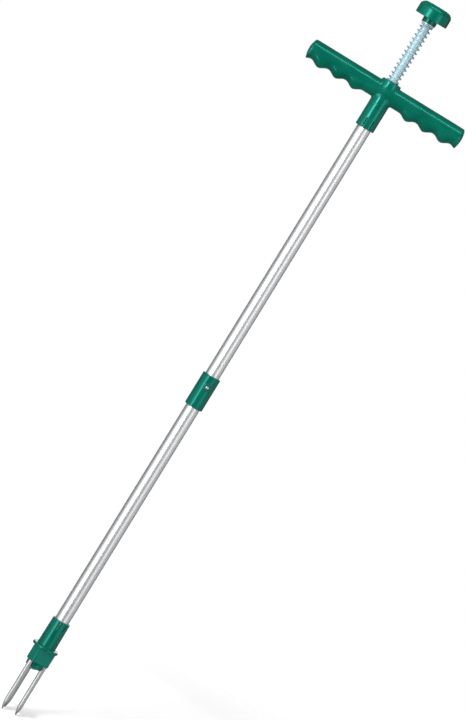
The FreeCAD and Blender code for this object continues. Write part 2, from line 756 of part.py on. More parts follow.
def finger_grip():
    """Both arms in one loft, plain near the hub and then four sections to each finger ridge.

    The last of these stays clear of the arm's end by a share of their spacing.
    """
    quarter = size_of("FingerPitch") / 4
    closest = 0.3
    ridged_length = size_of("CapPlane") - size_of("FingerStart")
    count = int(ridged_length / quarter - closest)
    stations = [("FingerStart * %d / 3" % third, "0") for third in range(1, 4)]
    for number in range(1, count + 1):
        distance = "FingerStart + FingerPitch * %d / 4" % number
        stations.append((distance, ridge_drop(distance)))
    stations.append(("CapPlane", ridge_drop("CapPlane")))
    sections = [arm_section("arm_section_middle", "0", "0")]
    for number, (distance, drop) in enumerate(stations, start=1):
        sections.insert(0, arm_section("arm_section_left_%d" % number, distance, drop, side=-1))
        sections.append(arm_section("arm_section_right_%d" % number, distance, drop))
    return loft("finger_grip", sections)


def slits(name, centre, reach, bottom, top):
    """The pair of slits beside a snap tongue."""
    return [
        slit_block("%s_slit_%s" % (name, side), "%s %s TongueSpread" % (centre, sign), reach, bottom, top)
        for side, sign in (("left", "-"), ("right", "+"))
    ]


def barb(name, height, angle):
    """The boss on a snap tongue that stands into the tube's hole."""
    return cross_cylinder(
        name, "BarbDiameter / 2", "TubeRadius - BarbBite", "SocketBore + Overrun", height, angle
    )


def t_handle():
    hub = cylinder("hub_outside", "HubRadius", "HubBottom", "HubTop")
    solid = fuse("handle_blank", hub, finger_grip())
    core = arm_cylinder("right_core", "CoreRadius", "CoreStart", "HandleSpan / 2")
    slit_top = "HubBottom + HubSlitLength"
    hollows = [
        cylinder("tube_bore", "SocketBore", "HubBottom - Overrun", "HubShoulder"),
        cylinder("bush_bore", "BushRadius", "HubShoulder - Overrun", "HubTop"),
        cylinder("washer_recess", "SeatWasherRadius + SlipGap", "SeatRecess", "HubTop + Overrun"),
        core,
        mirrored("left_core", core),
    ]
    hollows += slits("hub", "HubTongueAngle", "HubRadius + Overrun", "HubBottom - Overrun", slit_top)
    hollow = cut("handle_hollow", solid, *hollows)
    tongue = barb("hub_barb", "HubBarbHeight", "HubTongueAngle")
    whole = fuse("handle_whole", hollow, tongue)
    return rounded("t_handle", whole, "CollarEdgeRadius", [("HubRadius", "HubTop")])


def handle_end_cap(name):
    """A domed cap on the arm's last section, with a hollow plug in the arm."""
    end = "HandleSpan / 2"
    rim = loft(name + "_rim", [
        arm_section(name + "_inner", "CapPlane", ridge_drop("CapPlane")),
        arm_section(name + "_outer", end, ridge_drop(end)),
    ])
    dome = add("Part::Sphere", name + "_dome")
    bind(dome, Radius="CapDomeRadius")
    put(dome, x="HandleSpan / 2 - CapDomeRadius", z="ArmHeight - %s / 2" % ridge_drop(end))
    crown = common(name + "_crown", rim, dome)
    plug_start = "CapPlane - CapPlug"
    plug = arm_cylinder(name + "_plug", "CoreRadius - SlipGap", plug_start, "CapPlane")
    inside = "CoreRadius - SlipGap - CapPlugWall"
    hollow = arm_cylinder(name + "_hollow", inside, plug_start + " - Overrun", "CapPlane - Overrun")
    skirt = cut(name + "_skirt", plug, hollow)
    return fuse(name, crown, skirt)


def hub_bush():
    length = "SeatRecess - SeatGap - UpperTubeTop"
    corners = (
        ("BushBore", "0"),
        ("TubeRadius", "0"),
        ("TubeRadius", "BushFlange"),
        ("BushRadius", "BushFlange"),
        ("BushRadius", length),
        ("BushBore", length),
    )
    return turned_body("hub_bush", corners, z="UpperTubeTop")


def spring_seat_washer():
    inner = "BushBore + SlipGap"
    return ring("spring_seat_washer", "SeatWasherRadius", inner, "SeatRecess", "SpringBottom")


# ---------------------------------------------------------------- shaft and coupling


def shaft_tube(name, bottom, top, holes):
    """A round tube with holes bored through one side of its wall."""
    outside = cylinder(name + "_outside", "TubeRadius", bottom, top)
    inside = cylinder(name + "_inside", "TubeInside", "%s - Overrun" % bottom, "%s + Overrun" % top)
    tools = [inside]
    for number, (radius, height, angle) in enumerate(holes):
        hole = "%s_hole_%d" % (name, number)
        tools.append(cross_cylinder(hole, radius, "TubeInside - Overrun", "TubeRadius + Overrun",
                                    height, angle))
    return cut(name, outside, *tools)


def upper_tube():
    holes = (
        ("BarbDiameter / 2 + FaceGap", "HubBarbHeight", "HubTongueAngle"),
        ("ButtonDiameter / 2 + FaceGap", "ButtonHeight", "ButtonAngle"),
    )
    return shaft_tube("upper_tube", "UpperTubeBottom", "UpperTubeTop", holes)


def lower_tube():
    holes = (
        ("BarbDiameter / 2 + FaceGap", "BaseBarbHeight", "BaseTongueAngle"),
        ("RivetDiameter / 2 + RunningGap", "RivetHeight", "ButtonAngle + 180"),
    )
    return shaft_tube("lower_tube", "LowerTubeBottom", "LowerTubeTop", holes)


def tube_coupling():
    """A moulded sleeve with a stop rib, a ring round the button's hole and a rivet hole."""
    body = new_body("tube_coupling", z="CouplingBottom", yaw="ButtonAngle")
    height = "CouplingTop - CouplingBottom"
    rib_low = "RibBottom - CouplingBottom"
    rib_high = "RibTop - CouplingBottom"
    rib = "SocketBore - CouplingRibDepth"
    profile = sketch_on(body, "XZ_Plane", "profile")
    corners = (
        ("SocketBore", "0"),
        ("CouplingRadius", "0"),
        ("CouplingRadius", height),
        ("SocketBore", height),
        ("SocketBore", rib_high),
        (rib, rib_high),
        (rib, rib_low),
        ("SocketBore", rib_low),
    )
    draw_outline(profile, corners)
    revolve(body, profile)
    ends = (is_rim("CouplingRadius", "0"), is_rim("CouplingRadius", height))
    round_edges(body, "ends", "CouplingEdgeRadius", lambda edge: any(end(edge) for end in ends))
    button = "ButtonHeight - CouplingBottom"
    hole_radius = "ButtonDiameter / 2 + CouplingButtonGap"
    boss = sketch_on(body, "XZ_Plane", "boss", offset="SocketBore + CouplingWall / 2")
    draw_circle(boss, hole_radius + " + RingWidth", y=button)
    pad(body, boss, "CouplingWall / 2 + RingHeight")
    hole = sketch_on(body, "XZ_Plane", "button_hole")
    draw_circle(hole, hole_radius, y=button)
    pocket(body, hole, "CouplingRadius + 2 * RingHeight")
    rivet = sketch_on(body, "XZ_Plane", "rivet_hole")
    draw_circle(rivet, "RivetDiameter / 2 + RunningGap", y="RivetHeight - CouplingBottom")
    pocket(body, rivet, "CouplingRadius + Overrun", with_normal=False)
    return body


def coupling_rivet():
    """A blind rivet through the back of the coupling and the lower tube."""
    shank = "RivetDiameter / 2"
    head = shank + " + RivetHeadLip"
    tail = shank + " + RivetTailLip"
    tail_base = "TubeInside - RivetTailHeight"
    corners = (
        ("0", tail_base),
        (tail, tail_base),
        (tail, "sqrt(TubeInside ^ 2 - (%s) ^ 2)" % tail),
        (shank, "sqrt(TubeInside ^ 2 - (%s) ^ 2)" % tail),
        (shank, "CouplingRadius"),
        (head, "CouplingRadius"),
        ("0", "CouplingRadius + RivetHeadHeight"),
    )
    crown = {5: crown_radius(head, "RivetHeadHeight")}
    turn = "ButtonAngle + 180"
    return turned_body("coupling_rivet", corners, crown, z="RivetHeight", yaw=turn, roll="90")


def snap_button():
    """A domed button on a riveted tail, turned about the line that it slides along."""
    clip_outside = "TubeInside - SlipGap"
    top = "SocketBore - SlipGap + ButtonStroke"
    tail = "ButtonTail / 2"
    head = tail + " + ButtonTailHead"
    clip_inside = "sqrt((%s - ClipThickness) ^ 2 - (%s) ^ 2)" % (clip_outside, head)
    corners = (
        ("0", clip_inside + " - ButtonTailHead"),
        (head, clip_inside + " - ButtonTailHead"),
        (head, clip_inside),
        (tail, clip_inside),
        (tail, clip_outside),
        ("ButtonDiameter / 2", clip_outside),
        ("ButtonDiameter / 2", top + " - ButtonDome"),
        ("0", top),
    )
    crown = {6: crown_radius("ButtonDiameter / 2", "ButtonDome")}
    return turned_body("snap_button", corners, crown, z="ButtonHeight", yaw="ButtonAngle", roll="90")


def snap_button_clip():
    """An open ring of spring strip inside the upper tube, which carries the button."""
    outside = add("Part::Cylinder", "clip_outside")
    bind(outside, Radius="TubeInside - SlipGap", Height="ClipWidth", Angle="ClipWrap")
    start = "ButtonAngle - 90 - ClipWrap / 2"
    put(outside, z="ButtonHeight - ClipWidth / 2", yaw=start)
    low = "ButtonHeight - ClipWidth"
    high = "ButtonHeight + ClipWidth"
    inside = cylinder("clip_inside", "TubeInside - SlipGap - ClipThickness", low, high)
    hole_radius = "ButtonTail / 2 + SlipGap"
    hole = cross_cylinder("clip_hole", hole_radius, "0", "TubeRadius", "ButtonHeight", "ButtonAngle")
    return cut("snap_button_clip", outside, inside, hole)


# ---------------------------------------------------------------- base and tines


def base_socket():
    """The moulded socket for the lower tube, with its flange and floor."""
    foot = "SocketRadius + SocketTaper"
    outline = new_body("socket_shell", z="BlockTop")
    profile = sketch_on(outline, "XZ_Plane", "profile")
    corners = (
        ("GuideRadius - GuideShoulderLip", "0"),
        ("FlangeRadius", "0"),
        ("FlangeRadius", "FlangeThickness"),
        (foot, "FlangeThickness"),
        ("SocketRadius", "SocketHeight"),
        ("SocketBore", "SocketHeight"),
        ("SocketBore", "SocketFloor"),
        ("GuideRadius - GuideShoulderLip", "SocketFloor"),
    )
    draw_outline(profile, corners)
    revolve(outline, profile)
    root = is_rim(foot, "FlangeThickness")
    round_edges(outline, "root", "SocketFilletRadius", root)
    guide_top = "FloorTop - GuideShoulder"
    tools = [cylinder("guide_bore", "GuideRadius + SlipGap / 2", "BlockTop - Overrun", guide_top)]
    for number in range(3):
        angle = "(TineAngle + %d)" % (120 * number)
        head_top = "BlockTop + TineHeadHeight + SlipGap"
        tools.append(block_hole("head_hole_%d" % number, "TineHeadHole", "TineCircle", angle,
                                "BlockTop - Overrun", head_top))
        screw_top = "BlockTop + ScrewEngagement + SeatGap"
        tools.append(block_hole("screw_hole_%d" % number, "ScrewHole", "ScrewCircle", angle + " + 60",
                                "BlockTop - Overrun", screw_top))
    slit_bottom = "SocketTop - BaseSlitLength"
    reach = foot + " + Overrun"
    tools += slits("base", "BaseTongueAngle", reach, slit_bottom, "SocketTop + Overrun")
    hollow = cut("socket_hollow", outline, *tools)
    return fuse("base_socket", hollow, barb("base_barb", "BaseBarbHeight", "BaseTongueAngle"))


def block_hole(name, radius, circle, angle, bottom, top):
    """An upright cutter on a circle round the shaft."""
    x = "%s * sin((%s) * 1deg)" % (circle, angle)
    y = "-%s * cos((%s) * 1deg)" % (circle, angle)
    return cylinder(name, radius, bottom, top, x=x, y=y)


def rod_guide_bush():
    top = "FloorTop - GuideShoulder"
    return ring("rod_guide_bush", "GuideRadius", "GuideBore", "BlockTop", top)


def tine_block():
    """A triangle with cut-off corners, bored for the tines, the push rod and the screws."""
    body = new_body("tine_block", z="TineReach", yaw="TineAngle")
    outline = sketch_on(body, "XY_Plane", "outline")
    corners = []
    for number in range(3):
        turn = "%ddeg" % (120 * number)
        for side in ("-", ""):
            across = side + "BlockVertexSide"
            x = "BlockCorner * sin(%s) + (%s) * cos(%s)" % (turn, across, turn)
            y = "-BlockCorner * cos(%s) + (%s) * sin(%s)" % (turn, across, turn)
            corners.append((x, y))
    draw_outline(outline, corners)
    pad(body, outline, "BlockHeight")
    height = size_of("BlockHeight")

    def upright(edge):
        box = edge.BoundBox
        return abs(box.ZLength - height) < 1e-3

    round_edges(body, "corners", "BlockCornerRadius", upright)
    rod_hole = sketch_on(body, "XY_Plane", "rod_hole")
    draw_circle(rod_hole, "RodDiameter / 2 + FaceGap")
    pocket(body, rod_hole, "BlockHeight")
    tine_hole = sketch_on(body, "XY_Plane", "tine_hole")
    draw_circle(tine_hole, "TineHole", y="-TineCircle")
    tine_pocket = pocket(body, tine_hole, "BlockHeight")
    screw_hole = sketch_on(body, "XY_Plane", "screw_hole")
    draw_circle(screw_hole, "ScrewHole", y="ScrewCircle")
    screw_pocket = pocket(body, screw_hole, "BlockHeight")
    recess = sketch_on(body, "XY_Plane", "screw_recess")
    draw_circle(recess, "ScrewHeadHole", y="ScrewCircle")
    recess_pocket = pocket(body, recess, "ScrewHeadInset + ScrewHeadHeight")
    three_times(body, tine_pocket, screw_pocket, recess_pocket)
    return body


def tine(name, number):
    """A round steel tine with a blunted point and an upset head on top of the block."""
    angle = "(TineAngle + %d) * 1deg" % (120 * number)
    corners = (
        ("0", "0"),
        ("TineTipDiameter / 2", "0"),
        ("TineRadius", "TineTipLength"),
        ("TineRadius", "BlockTop"),
        ("TineHeadRadius", "BlockTop"),
        ("TineHeadRadius", "BlockTop + TineHeadHeight"),
        ("0", "BlockTop + TineHeadHeight"),
    )
    x = "TineCircle * sin(%s)" % angle
    y = "-TineCircle * cos(%s)" % angle
    return turned_body(name, corners, x=x, y=y)


def base_screw(name, number):
    """One of the screws that hold the tine block to the socket."""
    angle = "(TineAngle + %d) * 1deg" % (60 + 120 * number)
    bottom = "TineReach + ScrewHeadInset"
    top = "BlockTop + ScrewEngagement - (%s)" % bottom
    corners = (
        ("0", "0"),
        ("ScrewHeadDiameter / 2", "0"),
        ("ScrewHeadDiameter / 2", "ScrewHeadHeight"),
        ("ScrewDiameter / 2", "ScrewHeadHeight"),
        ("ScrewDiameter / 2", top),
        ("0", top),
    )
    x = "ScrewCircle * sin(%s)" % angle
    y = "-ScrewCircle * cos(%s)" % angle
    body = turned_body(name, corners, x=x, y=y, z=bottom)
    drive = sketch_on(body, "XY_Plane", "drive")
    draw_rectangle(drive, "-ScrewSocket", "ScrewSocket", "-ScrewSocket / 3", "ScrewSocket / 3")
    pocket(body, drive, "ScrewHeadHeight / 2")
    return body


def base_screws():
    item = add("Part::Compound", "base_screws")
    item.Links = [base_screw("base_screw_%d" % number, number) for number in range(3)]
    return item


# ---------------------------------------------------------------- the whole tool

right_cap = handle_end_cap("handle_end_cap_right")
PIECES = [
    plunger_knob(),
    knob_insert(),
    spring_top_washer(),
    plunger_sleeve(),
    push_rod_upper(),
    rod_stop_pin(),
    rod_connector(),
    push_rod_lower(),
    ejector_plate(),
    ejector_washer(),
    ejector_screw(),
    return_spring(),
    spring_seat_washer(),
    t_handle(),
    right_cap,
    mirrored("handle_end_cap_left", right_cap),
    hub_bush(),
    upper_tube(),
    tube_coupling(),
    coupling_rivet(),
    snap_button(),
    snap_button_clip(),
    lower_tube(),
    base_socket(),
    rod_guide_bush(),
    tine_block(),
    base_screws(),
]
for number, name in enumerate(("tine_front_left", "tine_right", "tine_back")):
    PIECES.append(tine(name, number))

doc.recompute()

faults = []
for item in doc.Objects:
    if "Invalid" in item.State or "Error" in item.State:
        faults.append("%s: %s" % (item.Name, item.State))
for piece in PIECES:
    if piece.Shape.isNull() or not piece.Shape.isValid():
        faults.append(piece.Label + ": no valid shape")
if faults:
    raise RuntimeError("; ".join(faults))

os.makedirs("parts", exist_ok=True)
for piece in PIECES:
    piece.Shape.exportStep("parts/%s.step" % piece.Label)
    print("%-22s %10.1f mm3" % (piece.Label, piece.Shape.Volume))
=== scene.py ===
"""Looks of a stand up weeder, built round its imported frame.

The moulded pieces are modelled as distance fields, so that every edge and corner has the soft
rounding of a moulding, and are then skinned with quads. Turned and coiled pieces are swept.
Sizes are in metres, in the frame's own axes: +Z up the shaft, +X along the right arm, and the
snap button on the -Y side.
"""

import logging
import math
from dataclasses import dataclass, field
from enum import Enum
from typing import Callable, Iterator, Sequence

import bpy
import numpy as np
from mathutils import Matrix, Vector


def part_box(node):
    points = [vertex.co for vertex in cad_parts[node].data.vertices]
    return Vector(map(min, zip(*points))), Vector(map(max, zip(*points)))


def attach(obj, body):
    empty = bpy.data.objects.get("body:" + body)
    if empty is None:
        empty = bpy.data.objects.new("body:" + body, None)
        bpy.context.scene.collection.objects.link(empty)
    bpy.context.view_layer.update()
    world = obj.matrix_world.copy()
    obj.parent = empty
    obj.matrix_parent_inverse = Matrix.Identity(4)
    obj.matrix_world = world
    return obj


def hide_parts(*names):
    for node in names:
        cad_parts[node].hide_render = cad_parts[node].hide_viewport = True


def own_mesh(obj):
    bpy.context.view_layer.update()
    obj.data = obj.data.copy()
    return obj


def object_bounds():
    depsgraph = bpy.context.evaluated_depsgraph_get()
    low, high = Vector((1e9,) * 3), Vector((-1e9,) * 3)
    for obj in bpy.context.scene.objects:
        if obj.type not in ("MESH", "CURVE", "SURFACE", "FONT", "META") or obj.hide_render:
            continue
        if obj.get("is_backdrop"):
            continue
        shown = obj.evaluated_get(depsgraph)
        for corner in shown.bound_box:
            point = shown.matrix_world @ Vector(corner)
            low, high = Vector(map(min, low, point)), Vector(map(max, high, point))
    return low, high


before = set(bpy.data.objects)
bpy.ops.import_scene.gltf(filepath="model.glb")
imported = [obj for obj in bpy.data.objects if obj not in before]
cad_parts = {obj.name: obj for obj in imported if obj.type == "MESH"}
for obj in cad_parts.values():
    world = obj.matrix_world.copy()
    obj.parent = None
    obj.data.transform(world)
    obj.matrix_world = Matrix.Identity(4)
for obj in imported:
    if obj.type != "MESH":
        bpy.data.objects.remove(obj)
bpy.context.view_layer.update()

# how far a shape runs past the face that it opens or joins
PAST = 0.001
WELL_PAST = 0.002
FAR_PAST = 0.01
# the clearance around a seated piece, or how far hidden faces overlap
SEATED = 0.0001
# how much edges are rounded and inner corners are filled, from the sharpest
FINE_EDGE = 0.0003
SMALL_EDGE = 0.0004
EDGE = 0.0005
WEAR = "edge_wear"
LOG = logging.getLogger("weeder")

Field = Callable[[np.ndarray, np.ndarray, np.ndarray], np.ndarray]
Colour = tuple[float, float, float]


class Body(Enum):
    """The bodies of the frame that pieces ride on."""

    FRAME = "frame"
    PLUNGER = "plunger"
    BUTTON = "snap_button"


# ---------------------------------------------------------------- reading the frame


def low(node: str) -> Vector:
    """The lowest corner of a node of the frame."""
    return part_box(node)[0]


def high(node: str) -> Vector:
    """The highest corner of a node of the frame."""
    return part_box(node)[1]


# ---------------------------------------------------------------- distance fields


def soft_min(one: np.ndarray, other: np.ndarray, width: float) -> np.ndarray:
    """The smaller of two distances, with the crease between them filled.

    Args:
        one: distances to the first shape.
        other: distances to the second shape.
        width: how far from the crease the filling starts; 0 leaves it sharp.

    Returns:
        The blended distances.
    """
    nearest = np.minimum(one, other)
    if width <= 0:
        return nearest
    share = np.maximum(width - np.abs(one - other), 0.0) / width
    return nearest - share * share * width / 4


def soft_max(one: np.ndarray, other: np.ndarray, width: float) -> np.ndarray:
    """The larger of two distances, with the edge between them rounded."""
    return -soft_min(-one, -other, width)


@dataclass(frozen=True)
class Solid:
    """A shape given by its distances: negative inside and positive outside."""

    distance: Field

    def join(self, other: "Solid", fillet: float = 0.0) -> "Solid":
        """Both shapes as one, with a fillet between them."""
        return Solid(lambda x, y, z: soft_min(self.distance(x, y, z), other.distance(x, y, z), fillet))

    def cut(self, other: "Solid", edge: float = 0.0) -> "Solid":
        """This shape without the other, with the new edge rounded."""
        return Solid(lambda x, y, z: soft_max(self.distance(x, y, z), -other.distance(x, y, z), edge))

    def keep(self, other: "Solid", edge: float = 0.0) -> "Solid":
        """What the two shapes share, with the new edge rounded."""
        return Solid(lambda x, y, z: soft_max(self.distance(x, y, z), other.distance(x, y, z), edge))

    def slope(self, points: np.ndarray, step: float) -> np.ndarray:
        """The direction in which the distance grows.

        Args:
            points: an array of points, one to a row.
            step: how far to either side the distance is read.

        Returns:
            One vector to a row, about one long.
        """
        columns = []
        for axis in range(3):
            shift = np.zeros(3)
            shift[axis] = step
            ahead, behind = (points + shift).T, (points - shift).T
            columns.append((self.distance(*ahead) - self.distance(*behind)) / (2 * step))
        return np.stack(columns, axis=1)


def post(radius: float, bottom: float, top: float, edge: float = 0.0, at: Sequence[float] = (0, 0)) -> Solid:
    """An upright cylinder.

    Args:
        radius: of the cylinder.
        bottom: height of its lower end.
        top: height of its upper end.
        edge: rounding of both ends.
        at: where its axis stands.

    Returns:
        The solid.
    """
    middle, half = (bottom + top) / 2, (top - bottom) / 2

    def distance(x: np.ndarray, y: np.ndarray, z: np.ndarray) -> np.ndarray:
        """Exact distance to the rounded cylinder.

        Args:
            x: how far to the right each point is, in metres.
            y: how far back each point is, in metres.
            z: how high each point is, in metres.

        Returns:
            Distances in metres, below 0 inside the solid.
        """
        outward = np.hypot(x - at[0], y - at[1]) - radius + edge
        upward = np.abs(z - middle) - half + edge
        outside = np.hypot(np.maximum(outward, 0), np.maximum(upward, 0))
        return outside + np.minimum(np.maximum(outward, upward), 0) - edge

    return Solid(distance)


def peg(radius: float, near: float, far: float, height: float, angle: float) -> Solid:
    """A cylinder that lies along a radius of the shaft.

    Args:
        radius: of the cylinder.
        near: distance of its inner end from the shaft's axis.
        far: distance of its outer end from the shaft's axis.
        height: of its own axis.
        angle: direction in degrees, from the front towards the right arm.

    Returns:
        The solid.
    """
    turn = math.radians(angle)

    def distance(x: np.ndarray, y: np.ndarray, z: np.ndarray) -> np.ndarray:
        """Distance to the lying cylinder.

        Args:
            x: how far to the right each point is, in metres.
            y: how far back each point is, in metres.
            z: how high each point is, in metres.

        Returns:
            Distances in metres, below 0 inside the solid.
        """
        along = x * math.sin(turn) - y * math.cos(turn)
        across = np.hypot(x * math.cos(turn) + y * math.sin(turn), z - height)
        return np.maximum(across - radius, np.maximum(near - along, along - far))

    return Solid(distance)


def slit(width: float, bottom: float, top: float, angle: float) -> Solid:
    """A narrow upright slot through one side of a sleeve, with round ends.

    Args:
        width: of the slot.
        bottom: height of its lower end.
        top: height of its upper end.
        angle: direction in degrees, from the front towards the right arm.

    Returns:
        The solid to cut away.
    """
    turn = math.radians(angle)
    half = width / 2

    def distance(x: np.ndarray, y: np.ndarray, z: np.ndarray) -> np.ndarray:
        """Distance to the slot.

        Args:
            x: how far to the right each point is, in metres.
            y: how far back each point is, in metres.
            z: how high each point is, in metres.

        Returns:
            Distances in metres, below 0 inside the solid.
        """
        along = x * math.sin(turn) - y * math.cos(turn)
        across = x * math.cos(turn) + y * math.sin(turn)
        past = np.maximum(z - top + half, 0) + np.maximum(bottom + half - z, 0)
        return np.maximum(np.hypot(across, past) - half, -along)

    return Solid(distance)


def rib(thickness: float, inner: float, outer: float, bottom: float, top: float, angle: float) -> Solid:
    """An upright web along a radius of the shaft.

    Args:
        thickness: of the web.
        inner: distance of its inner end from the shaft's axis.
        outer: distance of its outer end from the shaft's axis.
        bottom: height of its lower edge.
        top: height of its upper edge.
        angle: direction in degrees, from the front towards the right arm.

    Returns:
        The solid.
    """
    turn = math.radians(angle)

    def distance(x: np.ndarray, y: np.ndarray, z: np.ndarray) -> np.ndarray:
        """Distance to the web.

        Args:
            x: how far to the right each point is, in metres.
            y: how far back each point is, in metres.
            z: how high each point is, in metres.

        Returns:
            Distances in metres, below 0 inside the solid.
        """
        along = x * math.sin(turn) - y * math.cos(turn)
        across = np.abs(x * math.cos(turn) + y * math.sin(turn)) - thickness / 2
        ends = np.maximum(np.maximum(inner - along, along - outer), np.maximum(bottom - z, z - top))
        return np.maximum(across, ends)

    return Solid(distance)


# ---------------------------------------------------------------- meshes


@dataclass(frozen=True)
class Skinner:
    """Turns a distance field into a mesh of quads, with its vertices on the true surface."""

    cell: float
    settle_rounds: int = 4
    wear_reach: float = 0.0006
    wear_floor: float = 260.0
    wear_span: float = 900.0

    def crossings(self, axes: Sequence[np.ndarray], values: np.ndarray) -> tuple[np.ndarray, np.ndarray]:
        """Finds the cells that the surface passes through.

        Args:
            axes: the grid's coordinates along X, Y and Z.
            values: the distance at each grid point.

        Returns:
            The number of each cell's vertex, or -1, and the vertices' first places.
        """
        shape = tuple(count - 1 for count in values.shape)
        total = np.zeros(shape + (3,))
        count = np.zeros(shape)
        sides = np.array([(a, b) for a in (0, 1) for b in (0, 1)])
        for axis in range(3):
            others = [other for other in range(3) if other != axis]
            for first, second in sides:
                start = [slice(None)] * 3
                start[axis] = slice(0, shape[axis])
                start[others[0]] = slice(first, first + shape[others[0]])
                start[others[1]] = slice(second, second + shape[others[1]])
                end = list(start)
                end[axis] = slice(1, shape[axis] + 1)
                near, far = values[tuple(start)], values[tuple(end)]
                crossed = (near < 0) != (far < 0)
                place = np.argwhere(crossed)
                share = near[crossed] / (near[crossed] - far[crossed])
                offset = np.zeros((len(place), 3))
                offset[:, axis] = share
                offset[:, others[0]] = first
                offset[:, others[1]] = second
                total[crossed] += offset
                count[crossed] += 1
        used = count > 0
        number = np.full(shape, -1)
        number[used] = np.arange(used.sum())
        corner = np.argwhere(used)
        origin = np.array([axis[0] for axis in axes])
        return number, origin + (corner + total[used] / count[used][:, None]) * self.cell

    def quads(self, number: np.ndarray, inside: np.ndarray) -> np.ndarray:
        """Joins the vertices round every crossed grid edge.

        Args:
            number: the number of each cell's vertex.
            inside: which grid points are inside.

        Returns:
            Four vertex numbers to a row, turned outwards.
        """
        faces = []
        for axis in range(3):
            second, third = (axis + 1) % 3, (axis + 2) % 3
            ahead = np.take(inside, range(1, inside.shape[axis]), axis)
            behind = np.take(inside, range(inside.shape[axis] - 1), axis)
            place = np.argwhere(ahead != behind)
            step_two = np.eye(3, dtype=int)[second]
            step_three = np.eye(3, dtype=int)[third]
            around = [place - step_two - step_three, place - step_three, place, place - step_two]
            ring = np.stack([number[tuple(cells.T)] for cells in around], axis=1)
            flipped = ahead[tuple(place.T)]
            ring[flipped] = ring[flipped][:, ::-1]
            faces.append(ring)
        return np.concatenate(faces)

    def skin(
        self, name: str, solid: Solid, corner: Sequence[float], far_corner: Sequence[float]
    ) -> bpy.types.Object:
        """Makes the mesh of a solid.

        Args:
            name: of the new piece.
            solid: the distance field.
            corner: the lowest corner of the space that it takes.
            far_corner: the highest corner of that space.

        Returns:
            The new object, with a vertex attribute of how exposed each edge is.
        """
        axes = [
            np.arange(start - 2.5 * self.cell, end + 3 * self.cell, self.cell)
            for start, end in zip(corner, far_corner)
        ]
        grid = np.meshgrid(*axes, indexing="ij")
        values = solid.distance(*grid)
        number, points = self.crossings(axes, values)
        for _ in range(self.settle_rounds):
            slope = solid.slope(points, self.cell / 20)
            length = np.maximum((slope * slope).sum(1), 0.05)
            move = slope * (solid.distance(*points.T) / length)[:, None]
            points = points - np.clip(move, -self.cell / 2, self.cell / 2)
        normals = solid.slope(points, self.cell / 4)
        normals /= np.maximum(np.linalg.norm(normals, axis=1), 1e-9)[:, None]
        piece = new_piece(name, points, self.quads(number, values < 0))
        piece.data.normals_split_custom_set_from_vertices(normals.tolist())
        bend = -6 * solid.distance(*points.T)
        for axis in np.eye(3) * self.wear_reach:
            bend += solid.distance(*(points + axis).T) + solid.distance(*(points - axis).T)
        bend /= self.wear_reach**2
        wear = np.clip((bend - self.wear_floor) / self.wear_span, 0, 1)
        attribute = piece.data.attributes.new(WEAR, "FLOAT", "POINT")
        attribute.data.foreach_set("value", wear.astype(np.float32))
        return piece


def new_piece(name: str, points: np.ndarray, faces: np.ndarray | Sequence[Sequence[int]]) -> bpy.types.Object:
    """Makes a smooth-shaded mesh object.

    Args:
        name: of the piece.
        points: one vertex to a row.
        faces: the vertex numbers of each face.

    Returns:
        The new object, in the scene.
    """
    mesh = bpy.data.meshes.new(name)
    mesh.from_pydata(points.tolist(), [], [list(map(int, face)) for face in faces])
    mesh.shade_smooth()
    piece = bpy.data.objects.new(name, mesh)
    bpy.context.scene.collection.objects.link(piece)
    return piece


@dataclass(frozen=True)
class Corner:
    """A corner of a turned piece's outline, and how far back its rounding starts."""

    radius: float
    height: float
    rounding: float = 0.0

    @property
    def place(self) -> np.ndarray:
        """The corner as a point of the outline."""
        return np.array((self.radius, self.height))


def soften(corners: Sequence[Corner], steps: int = 6) -> np.ndarray:
    """Rounds the corners of a closed outline.

    Args:
        corners: in order round the outline.
        steps: straight pieces in each rounding.

    Returns:
        The outline's points, as radius and height.
    """
    points = []
    for index, corner in enumerate(corners):
        if corner.rounding <= 0:
            points.append(corner.place)
            continue
        before = corners[index - 1].place - corner.place
        after = corners[(index + 1) % len(corners)].place - corner.place
        start = corner.place + before / np.linalg.norm(before) * corner.rounding
        end = corner.place + after / np.linalg.norm(after) * corner.rounding
        for step in range(steps + 1):
            share = step / steps
            points.append(
                (1 - share) ** 2 * start + 2 * share * (1 - share) * corner.place + share**2 * end
            )
    return np.array(points)


def sweep_grid(rows: int, columns: int, rows_close: bool, columns_close: bool) -> list[tuple[int, ...]]:
    """The quads of a sheet of vertices.

    Args:
        rows: rows of vertices.
        columns: vertices in a row.
        rows_close: whether the last row meets the first.
        columns_close: whether each row meets its own start.

    Returns:
        The vertex numbers of each quad.
    """
    faces = []
    for row in range(rows if rows_close else rows - 1):
        for column in range(columns if columns_close else columns - 1):
            next_row, next_column = (row + 1) % rows, (column + 1) % columns
            corners = ((row, column), (row, next_column), (next_row, next_column), (next_row, column))
            faces.append(tuple(r * columns + c for r, c in corners))
    return faces


def turned(
    name: str, outline: np.ndarray, at: Sequence[float] = (0, 0), around: int = 72
) -> bpy.types.Object:
    """Turns a closed outline about an upright axis.

    Args:
        name: of the piece.
        outline: radius and height of each point, in order round the section.
        at: where the axis stands.
        around: vertices in a full turn.

    Returns:
        The new object.
    """
    angles = np.linspace(0, 2 * math.pi, around, endpoint=False)
    rings = [
        np.stack(
            [
                at[0] + radius * np.cos(angles),
                at[1] + radius * np.sin(angles),
                np.full(around, height),
            ],
            axis=1,
        )
        for radius, height in outline
    ]
    return new_piece(name, np.concatenate(rings), sweep_grid(len(rings), around, True, True))


# ---------------------------------------------------------------- finishes


